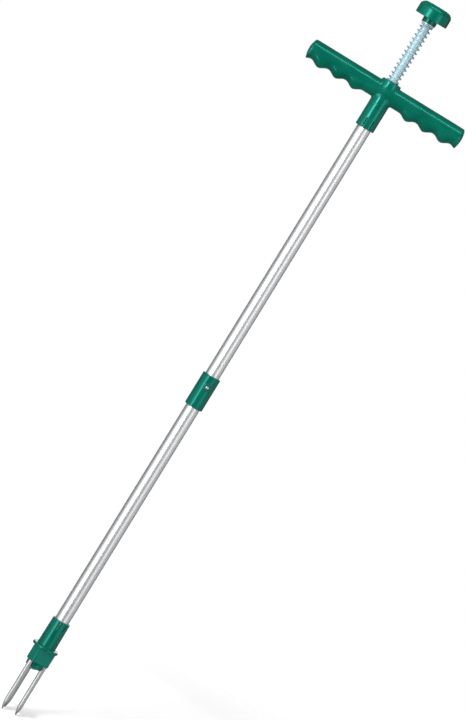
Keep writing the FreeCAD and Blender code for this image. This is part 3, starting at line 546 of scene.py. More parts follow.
class Board:
    """A material, and short ways to add the nodes that make it up."""

    def __init__(self, name: str) -> None:
        """Starts a material with a principled shader.

        Args:
            name: of the material.
        """
        self.material = bpy.data.materials.new(name)
        self.material.use_nodes = True
        self.tree = self.material.node_tree
        self.shader = self.tree.nodes["Principled BSDF"]
        self.where = self.add("ShaderNodeTexCoord").outputs["Object"]

    def add(self, kind: str, **settings: object) -> bpy.types.Node:
        """Adds a node and sets its own properties.

        Args:
            kind: the node's type name.
            settings: properties of the node and their values.

        Returns:
            The new node.
        """
        node = self.tree.nodes.new(kind)
        for name, value in settings.items():
            setattr(node, name, value)
        return node

    def feed(self, socket: bpy.types.NodeSocket, value: object) -> None:
        """Links a socket to another, or sets its value.

        Args:
            socket: the input to feed.
            value: an output socket, or a plain value.
        """
        if isinstance(value, bpy.types.NodeSocket):
            self.tree.links.new(value, socket)
        else:
            socket.default_value = value

    def set(self, **values: object) -> None:
        """Sets or links the shader's sockets; an underscore stands for a space."""
        for name, value in values.items():
            self.feed(self.shader.inputs[name.replace("_", " ")], value)

    def stretched(self, scale: Sequence[float]) -> bpy.types.NodeSocket:
        """Object coordinates with each axis scaled, for marks that run one way.

        Args:
            scale: how much each axis is scaled; the marks run along the smallest.

        Returns:
            The coordinates.
        """
        mapping = self.add("ShaderNodeMapping")
        self.feed(mapping.inputs["Vector"], self.where)
        mapping.inputs["Scale"].default_value = scale
        return mapping.outputs["Vector"]

    def noise(
        self, scale: float, detail: float = 3.0, where: bpy.types.NodeSocket | None = None
    ) -> bpy.types.NodeSocket:
        """Soft noise from 0 to 1.

        Args:
            scale: about how many features there are to a metre.
            detail: how many finer layers are added.
            where: the coordinates, if not the object's own.

        Returns:
            The noise.
        """
        texture = self.add("ShaderNodeTexNoise")
        self.feed(texture.inputs["Vector"], where or self.where)
        texture.inputs["Scale"].default_value = scale
        texture.inputs["Detail"].default_value = detail
        return texture.outputs["Fac"]

    def spots(self, scale: float) -> bpy.types.NodeSocket:
        """Distance from the nearest of scattered points, for pits and crystals.

        Args:
            scale: about how many points there are to a metre.

        Returns:
            The distance, from 0 at a point.
        """
        texture = self.add("ShaderNodeTexVoronoi")
        self.feed(texture.inputs["Vector"], self.where)
        texture.inputs["Scale"].default_value = scale
        return texture.outputs["Distance"]

    def span(
        self, value: object, start: float, end: float, to_start: float = 0.0, to_end: float = 1.0
    ) -> bpy.types.NodeSocket:
        """Maps a value from one span to another, and holds it there.

        Args:
            value: what is mapped.
            start: where the first span starts.
            end: where the first span ends.
            to_start: what the start becomes.
            to_end: what the end becomes.

        Returns:
            The mapped value.
        """
        node = self.add("ShaderNodeMapRange", interpolation_type="SMOOTHSTEP")
        self.feed(node.inputs["Value"], value)
        for name, number in zip(("From Min", "From Max", "To Min", "To Max"), (start, end, to_start, to_end)):
            node.inputs[name].default_value = number
        return node.outputs["Result"]

    def math(self, operation: str, one: object, other: object = 0.0) -> bpy.types.NodeSocket:
        """One step of arithmetic.

        Args:
            operation: the node's name for it.
            one: the first value.
            other: the second value.

        Returns:
            The result.
        """
        node = self.add("ShaderNodeMath", operation=operation)
        self.feed(node.inputs[0], one)
        self.feed(node.inputs[1], other)
        return node.outputs["Value"]

    def mix(self, share: object, one: object, other: object) -> bpy.types.NodeSocket:
        """Mixes two colours.

        Args:
            share: how much of the other there is, from 0 to 1.
            one: the first colour.
            other: the other colour.

        Returns:
            The mixed colour.
        """
        node = self.add("ShaderNodeMix", data_type="RGBA")
        self.feed(node.inputs["Factor"], share)
        for name, colour in (("A", one), ("B", other)):
            socket = next(s for s in node.inputs if s.name == name and s.type == "RGBA")
            self.feed(socket, (*colour, 1.0) if isinstance(colour, tuple) else colour)
        return next(s for s in node.outputs if s.type == "RGBA")

    def axis(self, name: str) -> bpy.types.NodeSocket:
        """One of the object's coordinates.

        Args:
            name: X, Y or Z.

        Returns:
            The coordinate in metres.
        """
        split = self.add("ShaderNodeSeparateXYZ")
        self.feed(split.inputs["Vector"], self.where)
        return split.outputs[name]

    def wear(self) -> bpy.types.NodeSocket:
        """How exposed the surface is, from 0 on a face to 1 on an outer edge."""
        return self.add("ShaderNodeAttribute", attribute_name=WEAR).outputs["Fac"]

    def relief(self, height: object, depth: float, below: object = None) -> bpy.types.NodeSocket:
        """A bumped normal.

        Args:
            height: from 0 to 1.
            depth: what a height of 1 is, in metres.
            below: the normal of a relief that this one is laid over.

        Returns:
            The normal.
        """
        bump = self.add("ShaderNodeBump")
        self.feed(bump.inputs["Height"], height)
        bump.inputs["Distance"].default_value = depth
        if below is not None:
            self.feed(bump.inputs["Normal"], below)
        return bump.outputs["Normal"]


@dataclass(frozen=True)
class MouldedPlastic:
    """Glossy moulded plastic: flow marks, a fine grain, a parting line and rubbed edges."""

    name: str
    deep: Colour
    pale: Colour
    rubbed: Colour
    roughness: float = 0.22
    sheen: Colour = (1.0, 1.0, 1.0)
    flow: tuple[float, float, float] = (1.0, 1.0, 1.0)
    parting: bool = False
    clouds: float = 26.0
    flow_marks: float = 170.0
    patches: float = 650.0
    grain: float = 2300.0
    grain_depth: float = 0.000003
    waves: float = 75.0
    wave_depth: float = 0.00006
    parting_crest: float = 0.00008
    parting_foot: float = 0.0003
    parting_depth: float = 0.00012

    def paint(self) -> bpy.types.Material:
        """Makes the material.

        Returns:
            The material.
        """
        board = Board(self.name)
        cloud = board.noise(self.clouds, 2.0)
        flow = board.noise(self.flow_marks, 4.0, board.stretched(self.flow))
        drift = board.span(board.math("ADD", cloud, board.math("MULTIPLY", flow, 0.6)), 0.55, 1.05)
        patchy = board.noise(self.patches, 3.0)
        rubbed = board.math("MULTIPLY", board.wear(), board.span(patchy, 0.42, 0.68))
        colour = board.mix(drift, self.deep, self.pale)
        colour = board.mix(board.math("MULTIPLY", rubbed, 0.3), colour, self.rubbed)
        gloss = board.span(flow, 0.3, 0.7, self.roughness - 0.035, self.roughness + 0.045)
        gloss = board.math("ADD", gloss, board.math("MULTIPLY", rubbed, 0.12))
        normal = board.relief(board.noise(self.grain, 2.0), self.grain_depth)
        normal = board.relief(board.noise(self.waves, 1.5), self.wave_depth, normal)
        if self.parting:
            away = board.math("ABSOLUTE", board.axis("Y"))
            line = board.span(away, self.parting_crest, self.parting_foot, 1.0, 0.0)
            normal = board.relief(line, self.parting_depth, normal)
        board.set(Base_Color=colour, Roughness=gloss, Normal=normal, IOR=1.5)
        board.set(Specular_Tint=(*self.sheen, 1.0))
        return board.material


@dataclass(frozen=True)
class PlatedSteel:
    """Bright drawn metal with fine lines along it and faint handling marks."""

    name: str
    colour: Colour
    shade: Colour
    roughness: float = 0.02
    haze: float = 0.03
    lines: tuple[float, float, float] = (1.0, 1.0, 0.004)
    line_depth: float = 0.0000002
    fine: float = 1400.0
    handling: float = 38.0

    def paint(self) -> bpy.types.Material:
        """Makes the material.

        Returns:
            The material.
        """
        board = Board(self.name)
        drawn = board.noise(self.fine, 3.0, board.stretched(self.lines))
        handled = board.noise(self.handling, 4.0)
        tone = board.span(board.math("ADD", board.math("MULTIPLY", drawn, 0.5), handled), 0.6, 1.1)
        hazy = board.span(handled, 0.4, 0.75, self.roughness, self.roughness + self.haze)
        rough = board.math("ADD", hazy, board.math("MULTIPLY", drawn, self.haze / 3))
        normal = board.relief(drawn, self.line_depth)
        colour = board.mix(tone, self.shade, self.colour)
        board.set(Base_Color=colour, Roughness=rough, Metallic=1.0, Normal=normal)
        return board.material


@dataclass(frozen=True)
class SpangledZinc:
    """Zinc plate with its small crystals, a dull bloom and pits."""

    name: str
    colour: Colour
    shade: Colour
    roughness: float = 0.36
    crystals: float = 900.0
    crystal_depth: float = 0.000008
    blooms: float = 240.0
    pits: float = 3200.0
    pit_depth: float = 0.000003

    def paint(self) -> bpy.types.Material:
        """Makes the material.

        Returns:
            The material.
        """
        board = Board(self.name)
        crystal = board.spots(self.crystals)
        bloom = board.noise(self.blooms, 4.0)
        tone = board.math("ADD", board.math("MULTIPLY", crystal, 0.7), board.math("MULTIPLY", bloom, 0.8))
        colour = board.mix(board.span(tone, 0.45, 0.95), self.shade, self.colour)
        rough = board.span(bloom, 0.3, 0.7, self.roughness - 0.08, self.roughness + 0.1)
        normal = board.relief(crystal, self.crystal_depth)
        normal = board.relief(board.noise(self.pits, 2.0), self.pit_depth, normal)
        board.set(Base_Color=colour, Roughness=rough, Metallic=0.5, Normal=normal)
        return board.material


@dataclass(frozen=True)
class GroundSteel:
    """Plain steel rod: die lines along it, scratches from soil and a polished point."""

    name: str
    colour: Colour
    shade: Colour
    bright: Colour
    point_length: float = 0.03
    die_lines: float = 1500.0
    line_depth: float = 0.000004
    line_run: tuple[float, float, float] = (1.0, 1.0, 0.02)
    soil_scratches: float = 900.0
    scratch_depth: float = 0.000003
    scratch_run: tuple[float, float, float] = (1.0, 1.0, 0.09)

    def paint(self) -> bpy.types.Material:
        """Makes the material.

        Returns:
            The material.
        """
        board = Board(self.name)
        lines = board.noise(self.die_lines, 4.0, board.stretched(self.line_run))
        marks = board.noise(self.soil_scratches, 5.0, board.stretched(self.scratch_run))
        scratches = board.span(marks, 0.6, 0.72)
        point = board.span(board.axis("Z"), self.point_length * 0.3, self.point_length, 1.0, 0.0)
        scoured = board.math("ADD", board.math("MULTIPLY", point, 0.7), 0.3)
        scratched = board.math("MULTIPLY", scratches, scoured)
        colour = board.mix(board.span(lines, 0.35, 0.7), self.shade, self.colour)
        colour = board.mix(scratched, colour, self.bright)
        rough = board.span(lines, 0.3, 0.7, 0.2, 0.3)
        normal = board.relief(lines, self.line_depth)
        normal = board.relief(scratches, self.scratch_depth, normal)
        board.set(Base_Color=colour, Roughness=rough, Metallic=1.0, Normal=normal)
        return board.material


GREEN = {
    "deep": (0.0004, 0.060, 0.0385),
    "pale": (0.0010, 0.078, 0.0510),
    "rubbed": (0.012, 0.17, 0.13),
    "sheen": (0.16, 1.0, 0.92),
}


class Finish(Enum):
    """Every finish on the tool, and the record's slot that each belongs to."""

    HANDLE = "green_plastic", MouldedPlastic("handle_green", **GREEN, flow=(0.25, 1, 1), parting=True)
    UPRIGHT = "green_plastic", MouldedPlastic("socket_green", **GREEN, flow=(1, 1, 0.25))
    TUBE = "plated_tube", PlatedSteel("plated_tube", (0.80, 0.80, 0.80), (0.70, 0.70, 0.71))
    ROD = "plated_rod", PlatedSteel("plated_rod", (0.66, 0.67, 0.68), (0.55, 0.56, 0.58), 0.24, 0.08)
    SLEEVE = "plated_rod", SpangledZinc("zinc_sleeve", (0.40, 0.56, 0.62), (0.31, 0.45, 0.51), 0.6)
    SPRING = "spring_steel", SpangledZinc("zinc_spring", (0.38, 0.52, 0.58), (0.28, 0.40, 0.46), 0.5)
    CLIP = "spring_steel", PlatedSteel("blued_strip", (0.42, 0.43, 0.46), (0.30, 0.31, 0.34), 0.28, 0.08)
    TINE = "tine_steel", GroundSteel("tine_steel", (0.62, 0.65, 0.64), (0.42, 0.45, 0.44), (0.80, 0.81, 0.80))
    BRASS = "brass", PlatedSteel("brass", (0.78, 0.56, 0.24), (0.62, 0.42, 0.16), 0.25, 0.08, (1, 1, 0.5))
    BUSH = "bush_plastic", MouldedPlastic(
        "bush_plastic", (0.60, 0.60, 0.56), (0.68, 0.68, 0.64), (0.75, 0.75, 0.72), 0.42
    )
    FASTENER = "fastener_steel", PlatedSteel(
        "fastener_steel", (0.78, 0.79, 0.80), (0.62, 0.63, 0.65), 0.15, 0.06, (1, 1, 1), 0.000002
    )

    def __init__(self, slot: str, maker: object) -> None:
        """Keeps the slot and what makes the material."""
        self.slot = slot
        self.maker = maker

    @property
    def material(self) -> bpy.types.Material:
        """The material, made the first time that it is asked for."""
        return bpy.data.materials.get(self.maker.name) or self.maker.paint()


def dress(piece: bpy.types.Object, finish: Finish, body: Body, *nodes: str) -> bpy.types.Object:
    """Finishes a new piece and puts it in the place of nodes of the frame.

    Args:
        piece: the new object.
        finish: what it is made of.
        body: what it moves with.
        nodes: the nodes that it stands for.

    Returns:
        The same object.
    """
    piece.data.materials.clear()
    piece.data.materials.append(finish.material)
    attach(piece, body.value)
    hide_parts(*nodes)
    return piece


def refinish(node: str, finish: Finish) -> bpy.types.Object:
    """Gives a node of the frame its finish and leaves its shape alone.

    Args:
        node: the node's name.
        finish: what it is made of.

    Returns:
        The node's own object.
    """
    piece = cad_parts[node]
    piece.data.materials.clear()
    piece.data.materials.append(finish.material)
    return piece


# ---------------------------------------------------------------- sub-assemblies


@dataclass
class Plunger:
    """The palm knob, its rods and sleeve, and the ejector at the lower end."""

    skinner: Skinner = Skinner(0.00045)
    rim: float = 0.007
    dome: float = 0.0015
    neck_height: float = 0.0053
    neck_lip: float = 0.00035
    neck_edge: float = 0.0006
    ceiling_edge: float = 0.001
    web_fillet: float = 0.0008
    web_start: float = 0.001
    web_stop: float = 0.002
    under_edge: float = 0.0012
    shell: float = 0.0026
    recess_depth: float = 0.012
    rib_count: int = 6
    rib_thickness: float = 0.0016
    rib_setback: float = 0.0015
    gate_radius: float = 0.0022
    gate_depth: float = 0.0004
    washer_edge: float = 0.0003
    rolled_side: float = 1.6
    rod_hole: float = 0.0041

    def knob(self) -> bpy.types.Object:
        """The palm knob: a crowned cap on a neck, hollow and ribbed underneath.

        Returns:
            The knob.
        """
        near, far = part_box("plunger_knob")
        radius, top = far.x, far.z
        skirt = near.z + self.neck_height
        neck = high("spring_top_washer").x + self.neck_lip
        ceiling = skirt + self.recess_depth
        bore = high("knob_insert").x

        def cap(x: np.ndarray, y: np.ndarray, z: np.ndarray) -> np.ndarray:
            """Distance to the crowned cap.

            Args:
                x: how far to the right each point is, in metres.
                y: how far back each point is, in metres.
                z: how high each point is, in metres.

            Returns:
                Distances in metres, below 0 inside the solid.
            """
            out = np.hypot(x, y)
            side = out - radius + self.rim
            up = z - top + self.dome * (out / radius) ** 2 + self.rim
            rounded = np.hypot(np.maximum(side, 0), np.maximum(up, 0))
            rounded += np.minimum(np.maximum(side, up), 0) - self.rim
            return soft_max(rounded, skirt - z, self.under_edge)

        recess = post(radius - self.shell, skirt - self.rim, ceiling, self.ceiling_edge)
        recess = recess.cut(post(neck, near.z - self.rim, top), self.neck_edge)
        solid = Solid(cap).cut(recess, self.web_fillet)
        web_bottom = skirt + self.rib_setback
        for number in range(self.rib_count):
            angle = 360 * number / self.rib_count
            inner, outer = bore + self.web_start, radius - self.web_stop
            web = rib(self.rib_thickness, inner, outer, web_bottom, ceiling + PAST, angle)
            solid = solid.join(web, self.web_fillet)
        solid = solid.join(post(neck, near.z, ceiling, SMALL_EDGE), self.web_fillet)
        solid = solid.cut(post(bore, near.z - PAST, high("knob_insert").z), FINE_EDGE)
        solid = solid.cut(post(self.gate_radius, top - self.gate_depth, top + PAST), EDGE)
        piece = self.skinner.skin("palm_knob", solid, near, far)
        return dress(piece, Finish.UPRIGHT, Body.PLUNGER, "plunger_knob")

    def washer(self, name: str, node: str, hole: float, body: Body) -> bpy.types.Object:
        """A pressed washer with its edges rolled over.

        Args:
            name: of the piece.
            node: the node that it stands for.
            hole: radius of its hole.
            body: what it moves with.

        Returns:
            The washer.
        """
        near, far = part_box(node)
        edge = self.washer_edge
        corners = [
            Corner(hole, near.z, edge),
            Corner(far.x, near.z, edge),
            Corner(far.x, far.z, edge * self.rolled_side),
            Corner(hole, far.z, edge),
        ]
        return dress(turned(name, soften(corners)), Finish.FASTENER, body, node)

    def build(self) -> Iterator[bpy.types.Object]:
        """Makes and finishes the plunger's pieces.

        Yields:
            Each piece.
        """
        yield self.knob()
        yield self.washer("spring_top_washer_ring", "spring_top_washer", self.rod_hole, Body.PLUNGER)
        yield refinish("knob_insert", Finish.BRASS)
        yield refinish("plunger_sleeve", Finish.SLEEVE)
        for rod in ("push_rod_upper", "push_rod_lower", "rod_connector"):
            yield refinish(rod, Finish.ROD)
        for fastener in ("rod_stop_pin", "ejector_screw", "ejector_washer"):
            yield refinish(fastener, Finish.FASTENER)
        yield Ejector().plate()


@dataclass
class Ejector:
    """The plate that pushes the weed off the tines."""

    skinner: Skinner = Skinner(0.00032)
    notch: float = 0.005
    gap: float = 0.0007
    floor: float = 0.002
    screw_hole: float = 0.0026
    rod_seat: float = 0.0041
    edge: float = 0.0006
    notch_edge: float = 0.0007
    screw_edge: float = 0.0002

    def plate(self) -> bpy.types.Object:
        """A disc with a notch round each tine.

        Returns:
            The disc.
        """
        near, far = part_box("ejector_plate")
        tines = TineSet()
        circle = tines.circle
        solid = post(circle, near.z, far.z, self.edge)
        reach = circle - tines.radius - self.gap + self.notch
        for angle in tines.angles:
            at = TineSet.on_circle(reach, angle)
            solid = solid.cut(post(self.notch, near.z - WELL_PAST, far.z + WELL_PAST, at=at), self.notch_edge)
        solid = solid.cut(post(self.screw_hole, near.z - PAST, far.z), self.screw_edge)
        solid = solid.cut(post(self.rod_seat, near.z + self.floor, far.z + PAST), FINE_EDGE)
        corner = Vector((-circle, -circle, near.z))
        piece = self.skinner.skin("ejector_disc", solid, corner, Vector((circle, circle, far.z)))
        return dress(piece, Finish.UPRIGHT, Body.PLUNGER, "ejector_plate")


@dataclass
class ReturnSpring:
    """The compression spring under the knob, with a closed and ground turn at each end."""

    wire: float = 0.0016
    ground: float = 0.0003
    open_turns: float = 13.0
    closed_pitch: float = 0.00168
    blend: float = 0.25
    steps: int = 44
    facets: int = 14
    travel_left: float = 0.0273
    play: float = 0.00015

    def heights(self, turns: np.ndarray, travel: float) -> np.ndarray:
        """The height of the wire's middle at each point along it.

        Args:
            turns: turns made at each point.
            travel: height from the first point to the last.

        Returns:
            Heights above the first point.
        """
        total = turns[-1]
        from_end = np.minimum(turns, total - turns)
        share = np.clip((from_end - 1 + self.blend) / (2 * self.blend), 0, 1)
        smooth = share * share * (3 - 2 * share)
        open_pitch = (travel - 2 * self.closed_pitch) / self.open_turns
        pitch = self.closed_pitch + (open_pitch - self.closed_pitch) * smooth
        climbed = np.concatenate([[0], np.cumsum((pitch[1:] + pitch[:-1]) / 2 * np.diff(turns))])
        return climbed * travel / climbed[-1]

    def build(self) -> Iterator[bpy.types.Object]:
        """Coils the wire and grinds its ends flat.

        Yields:
            The spring.
        """
        near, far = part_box("return_spring")
        far.z -= self.play
        middle = far.x - self.wire / 2
        total = self.open_turns + 2
        turns = np.linspace(0, total, int(total * self.steps) + 1)
        lift = self.wire / 2 - self.ground
        height = near.z + lift + self.heights(turns, far.z - near.z - 2 * lift)
        section = np.linspace(0, -2 * math.pi, self.facets, endpoint=False)
        angle = (turns * 2 * math.pi)[:, None]
        out = middle + self.wire / 2 * np.cos(section)[None, :]
        up = height[:, None] + self.wire / 2 * np.sin(section)[None, :]
        up = np.clip(up, near.z + self.play / 3, far.z)
        points = np.stack([out * np.cos(angle), out * np.sin(angle), up], axis=2).reshape(-1, 3)
        faces = sweep_grid(len(turns), self.facets, False, True)
        last = (len(turns) - 1) * self.facets
        faces.append(tuple(reversed(range(self.facets))))
        faces.append(tuple(range(last, last + self.facets)))
        piece = new_piece("return_spring_coil", points, faces)
        dress(piece, Finish.SPRING, Body.FRAME, "return_spring")
        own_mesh(piece)
        yield piece


@dataclass
class Handle:
    """The T-handle with its finger ridges, hub and end caps."""

    skinner: Skinner = Skinner(0.0006)
    cap_skinner: Skinner = Skinner(0.0004)
    ridge: float = 0.0047
    pitch: float = 0.0247
    first: float = 0.02595
    fillet: float = 0.0024
    collar_edge: float = 0.001
    core: float = 0.0085
    core_start: float = 0.018
    shoulder: float = 0.002
    bush: float = 0.00705
    recess_depth: float = 0.0014
    slit_run_out: float = 0.004
    slit_width: float = 0.0014
    slit_length: float = 0.013
    tongue: float = 8.0
    spread: float = 24.0
    barb: float = 0.0025
    barb_rise: float = 0.005
    barb_bite: float = 0.0008
    cap_dome: float = 0.003
    seat_hole: float = 0.00565
    cap_edge: float = 0.0022
    cap_overlap: float = 0.0005
    cap_plug: float = 0.008
    plug_wall: float = 0.002
    plug_floor: float = 0.001

    def arm_field(self) -> Solid:
        """Both arms without end, ridged underneath for the fingers.

        Returns:
            The solid.
        """
        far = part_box("handle_end_cap_right")[1]
        radius = far.y
        axis = far.z - radius

        def distance(x: np.ndarray, y: np.ndarray, z: np.ndarray) -> np.ndarray:
            """Distance to the oval section that the arm has at each place.

            Args:
                x: how far to the right each point is, in metres.
                y: how far back each point is, in metres.
                z: how high each point is, in metres.

            Returns:
                Distances in metres, below 0 inside the solid.
            """
            reach = np.abs(x)
            wave = np.sin(np.pi * (reach - self.first) / self.pitch) ** 2
            drop = np.where(reach > self.first, self.ridge * wave, 0.0)
            return (np.hypot(y / radius, (z - axis + drop / 2) / (radius + drop / 2)) - 1) * radius

        return Solid(distance)

    def lying(self, radius: float, start: float, end: float) -> Solid:
        """A cylinder in each arm.

        Args:
            radius: of the cylinder.
            start: distance of its inner end from the shaft's axis.
            end: distance of its outer end from the shaft's axis.

        Returns:
            The solid.
        """
        far = high("handle_end_cap_right")
        axis = far.z - far.y
        return Solid(
            lambda x, y, z: np.maximum(
                np.hypot(y, z - axis) - radius, np.maximum(start - np.abs(x), np.abs(x) - end)
            )
        )

    def moulding(self) -> bpy.types.Object:
        """The hub and both arms in one moulding.

        Returns:
            The moulding.
        """
        near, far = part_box("t_handle")
        hub = far.y
        tube = high("upper_tube")
        ends = Solid(lambda x, y, z: np.abs(x) - far.x)
        arms = self.arm_field().keep(ends, EDGE)
        solid = arms.join(post(hub, near.z, far.z, self.collar_edge), self.fillet)
        solid = solid.cut(self.lying(self.core, self.core_start, far.x + FAR_PAST), SMALL_EDGE)
        solid = solid.cut(post(tube.x + SEATED, near.z - WELL_PAST, tube.z + self.shoulder), EDGE)
        solid = solid.cut(post(self.bush, tube.z, far.z + WELL_PAST), FINE_EDGE)
        recess = high("spring_seat_washer").x + SEATED
        solid = solid.cut(post(recess, far.z - self.recess_depth, far.z + WELL_PAST), SMALL_EDGE)
        for side in (-1, 1):
            angle = self.tongue + side * self.spread
            slot = slit(self.slit_width, near.z - self.slit_run_out, near.z + self.slit_length, angle)
            solid = solid.cut(slot, EDGE)
        bite = tube.x - self.barb_bite
        solid = solid.join(peg(self.barb, bite, tube.x + PAST, near.z + self.barb_rise, self.tongue))
        piece = self.skinner.skin("handle_moulding", solid, near, far)
        return dress(piece, Finish.HANDLE, Body.FRAME, "t_handle")

    def cap(self, side: str) -> bpy.types.Object:
        """A domed cap pressed into the end of an arm, with its hollow plug.

        Args:
            side: right or left.

        Returns:
            The cap.
        """
        near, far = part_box("handle_end_cap_" + side)
        start = high("t_handle").x
        end = max(far.x, -near.x)
        half = (far.z - near.z) / 2
        dome = (half**2 + self.cap_dome**2) / (2 * self.cap_dome)
        middle = (far.z + near.z) / 2

        def crown(x: np.ndarray, y: np.ndarray, z: np.ndarray) -> np.ndarray:
            """Distance to the ball that the cap's end is part of."""
            return np.sqrt((np.abs(x) - end + dome) ** 2 + y**2 + (z - middle) ** 2) - dome

        inner = Solid(lambda x, y, z: start - np.abs(x))
        solid = self.arm_field().keep(Solid(crown), self.cap_edge).keep(inner, EDGE)
        plug = self.core - SEATED
        solid = solid.join(self.lying(plug, start - self.cap_plug, start + self.cap_overlap))
        hollow = self.lying(plug - self.plug_wall, start - self.cap_plug - PAST, start - self.plug_floor)
        solid = solid.cut(hollow, SMALL_EDGE)
        sign = 1 if side == "right" else -1
        one_side = Solid(lambda x, y, z: -sign * x)
        piece = self.cap_skinner.skin("end_cap_" + side, solid.keep(one_side), near, far)
        return dress(piece, Finish.HANDLE, Body.FRAME, "handle_end_cap_" + side)

    def build(self) -> Iterator[bpy.types.Object]:
        """Makes and finishes the handle's pieces.

        Yields:
            Each piece.
        """
        yield self.moulding()
        for side in ("right", "left"):
            yield self.cap(side)
        yield refinish("hub_bush", Finish.BUSH)
        yield Plunger().washer("spring_seat_ring", "spring_seat_washer", self.seat_hole, Body.FRAME)


@dataclass
class Shaft:
    """The two tubes, the coupling between them and its snap button."""

    skinner: Skinner = Skinner(0.0004)
    wall: float = 0.0025
    edge: float = 0.0009
    stop: float = 0.001
    stop_gap: float = 0.0003
    button_gap: float = 0.0005
    ring_width: float = 0.0012
    ring_height: float = 0.0006
    button_angle: float = 14.8
    rivet: float = 0.00205
    clip_thickness: float = 0.0004
    clip_wrap: float = 290.0
    clip_steps: int = 96
    clip_edge: float = 0.00012
    stroke: float = 0.0028

    def coupling(self) -> bpy.types.Object:
        """A sleeve with a stop inside and a moulded ring round the button.

        Returns:
            The coupling.
        """
        near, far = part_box("tube_coupling")
        bore = high("upper_tube").x + SEATED
        outer = bore + self.wall
        button = (low("snap_button").z + high("snap_button").z) / 2
        button_radius = (high("snap_button").z - low("snap_button").z) / 2
        stop_low = high("lower_tube").z + self.stop_gap
        stop_high = low("upper_tube").z - self.stop_gap
        hole = button_radius + self.button_gap
        ring = hole + self.ring_width
        boss = peg(ring, bore + self.wall / 2, outer + self.ring_height, button, self.button_angle)
        solid = post(outer, near.z, far.z, self.edge).join(boss, EDGE)
        tube = post(bore, near.z - WELL_PAST, far.z + WELL_PAST)
        stop = post(bore + SEATED, stop_low, stop_high).cut(post(bore - self.stop, near.z, far.z))
        solid = solid.cut(tube.cut(stop), EDGE)
        solid = solid.cut(peg(hole, 0.0, outer + FAR_PAST, button, self.button_angle), SMALL_EDGE)
        rivet = (low("coupling_rivet").z + high("coupling_rivet").z) / 2
        hole = peg(self.rivet, 0.0, outer + FAR_PAST, rivet, self.button_angle + 180)
        solid = solid.cut(hole, FINE_EDGE)
        piece = self.skinner.skin("coupling_sleeve", solid, near, far)
        return dress(piece, Finish.UPRIGHT, Body.FRAME, "tube_coupling")

    def clip(self) -> bpy.types.Object:
        """The open ring of spring strip that pushes the button out.

        Returns:
            The clip.
        """
        near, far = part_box("snap_button_clip")
        outer = max(far.x, far.y, -near.x, -near.y)
        inner = outer - self.clip_thickness
        start = self.button_angle - 90 - self.clip_wrap / 2
        angles = np.radians(np.linspace(start, start + self.clip_wrap, self.clip_steps))
        places = ((inner, near.z), (outer, near.z), (outer, far.z), (inner, far.z))
        corners = [Corner(radius, height, self.clip_edge) for radius, height in places]
        section = soften(corners, 3)[::-1]
        points = [(r * math.cos(a), r * math.sin(a), z) for a in angles for r, z in section]
        count = len(section)
        faces = sweep_grid(len(angles), count, False, True)
        faces.append(tuple(reversed(range(count))))
        faces.append(tuple(range(count * (len(angles) - 1), count * len(angles))))
        piece = new_piece("button_clip_strip", np.array(points), faces)
        dress(piece, Finish.CLIP, Body.FRAME, "snap_button_clip")
        turn = math.radians(self.button_angle)
        outward = Vector((math.sin(turn), -math.cos(turn), 0.0))
        anchor = -outward * outer
        anchor.z = (near.z + far.z) / 2
        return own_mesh(piece)

    def build(self) -> Iterator[bpy.types.Object]:
        """Makes and finishes the shaft's pieces.

        Yields:
            Each piece.
        """
        for tube in ("upper_tube", "lower_tube"):
            yield refinish(tube, Finish.TUBE)
        yield self.coupling()
        yield self.clip()
        for fastener in ("coupling_rivet", "snap_button"):
            yield refinish(fastener, Finish.FASTENER)


@dataclass
class TineSet:
    """The three steel tines."""

    radius: float = 0.0031
    tip: float = 0.0005
    tip_length: float = 0.013
    head_lip: float = 0.0013
    head_height: float = 0.0022
    head_edge: float = 0.0008
    straight_start: float = 0.002
    point_rise: float = 0.0003
    point_curve: float = 1.45
    point_swell: float = 0.92
    blunt_share: float = 0.6
    blunt_rise: float = 0.00005
    axis_radius: float = 0.00001
    first_angle: float = -36.0
    spacing: float = 120.0
    tip_rings: int = 14
    around: int = 40

    @property
    def angles(self) -> tuple[float, float, float]:
        """The direction of each tine, from the front towards the right arm."""
        first = self.first_angle
        return first, first + self.spacing, first + 2 * self.spacing

    @property
    def circle(self) -> float:
        """How far the tines stand from the shaft's axis."""
        near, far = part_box("tine_front_left")
        return math.hypot((near.x + far.x) / 2, (near.y + far.y) / 2)

    @staticmethod
    def on_circle(radius: float, angle: float) -> tuple[float, float]:
        """A point at this distance from the shaft's axis."""
        turn = math.radians(angle)
        return radius * math.sin(turn), -radius * math.cos(turn)

    def tine(self, node: str, angle: float) -> bpy.types.Object:
        """One tine with a slim rounded point and an upset head.

        Args:
            node: the node that it stands for.
            angle: its direction.

        Returns:
            The tine.
        """
        near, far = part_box(node)
        seat = far.z - self.head_height
        head = self.radius + self.head_lip
        share = np.linspace(0, 1, self.tip_rings)
        rounded = (1 - (1 - share) ** self.point_curve) ** self.point_swell
        swell = self.tip + (self.radius - self.tip) * rounded
        point = np.stack([swell, near.z + self.point_rise + share * self.tip_length], axis=1)
        upper = soften([
            Corner(self.radius, near.z + self.tip_length + self.straight_start),
            Corner(self.radius, seat, SMALL_EDGE),
            Corner(head, seat, SMALL_EDGE),
            Corner(head, far.z, self.head_edge),
            Corner(self.axis_radius, far.z),
        ])
        start = [(self.axis_radius, near.z), (self.tip * self.blunt_share, near.z + self.blunt_rise)]
        outline = np.concatenate([start, point, upper])
        piece = turned(node + "_rod", outline, TineSet.on_circle(self.circle, angle), self.around)
        return dress(piece, Finish.TINE, Body.FRAME, node)

    def build(self) -> Iterator[bpy.types.Object]:
        """Makes and finishes the tines."""
        for node, angle in zip(("tine_front_left", "tine_right", "tine_back"), self.angles):
            yield self.tine(node, angle)


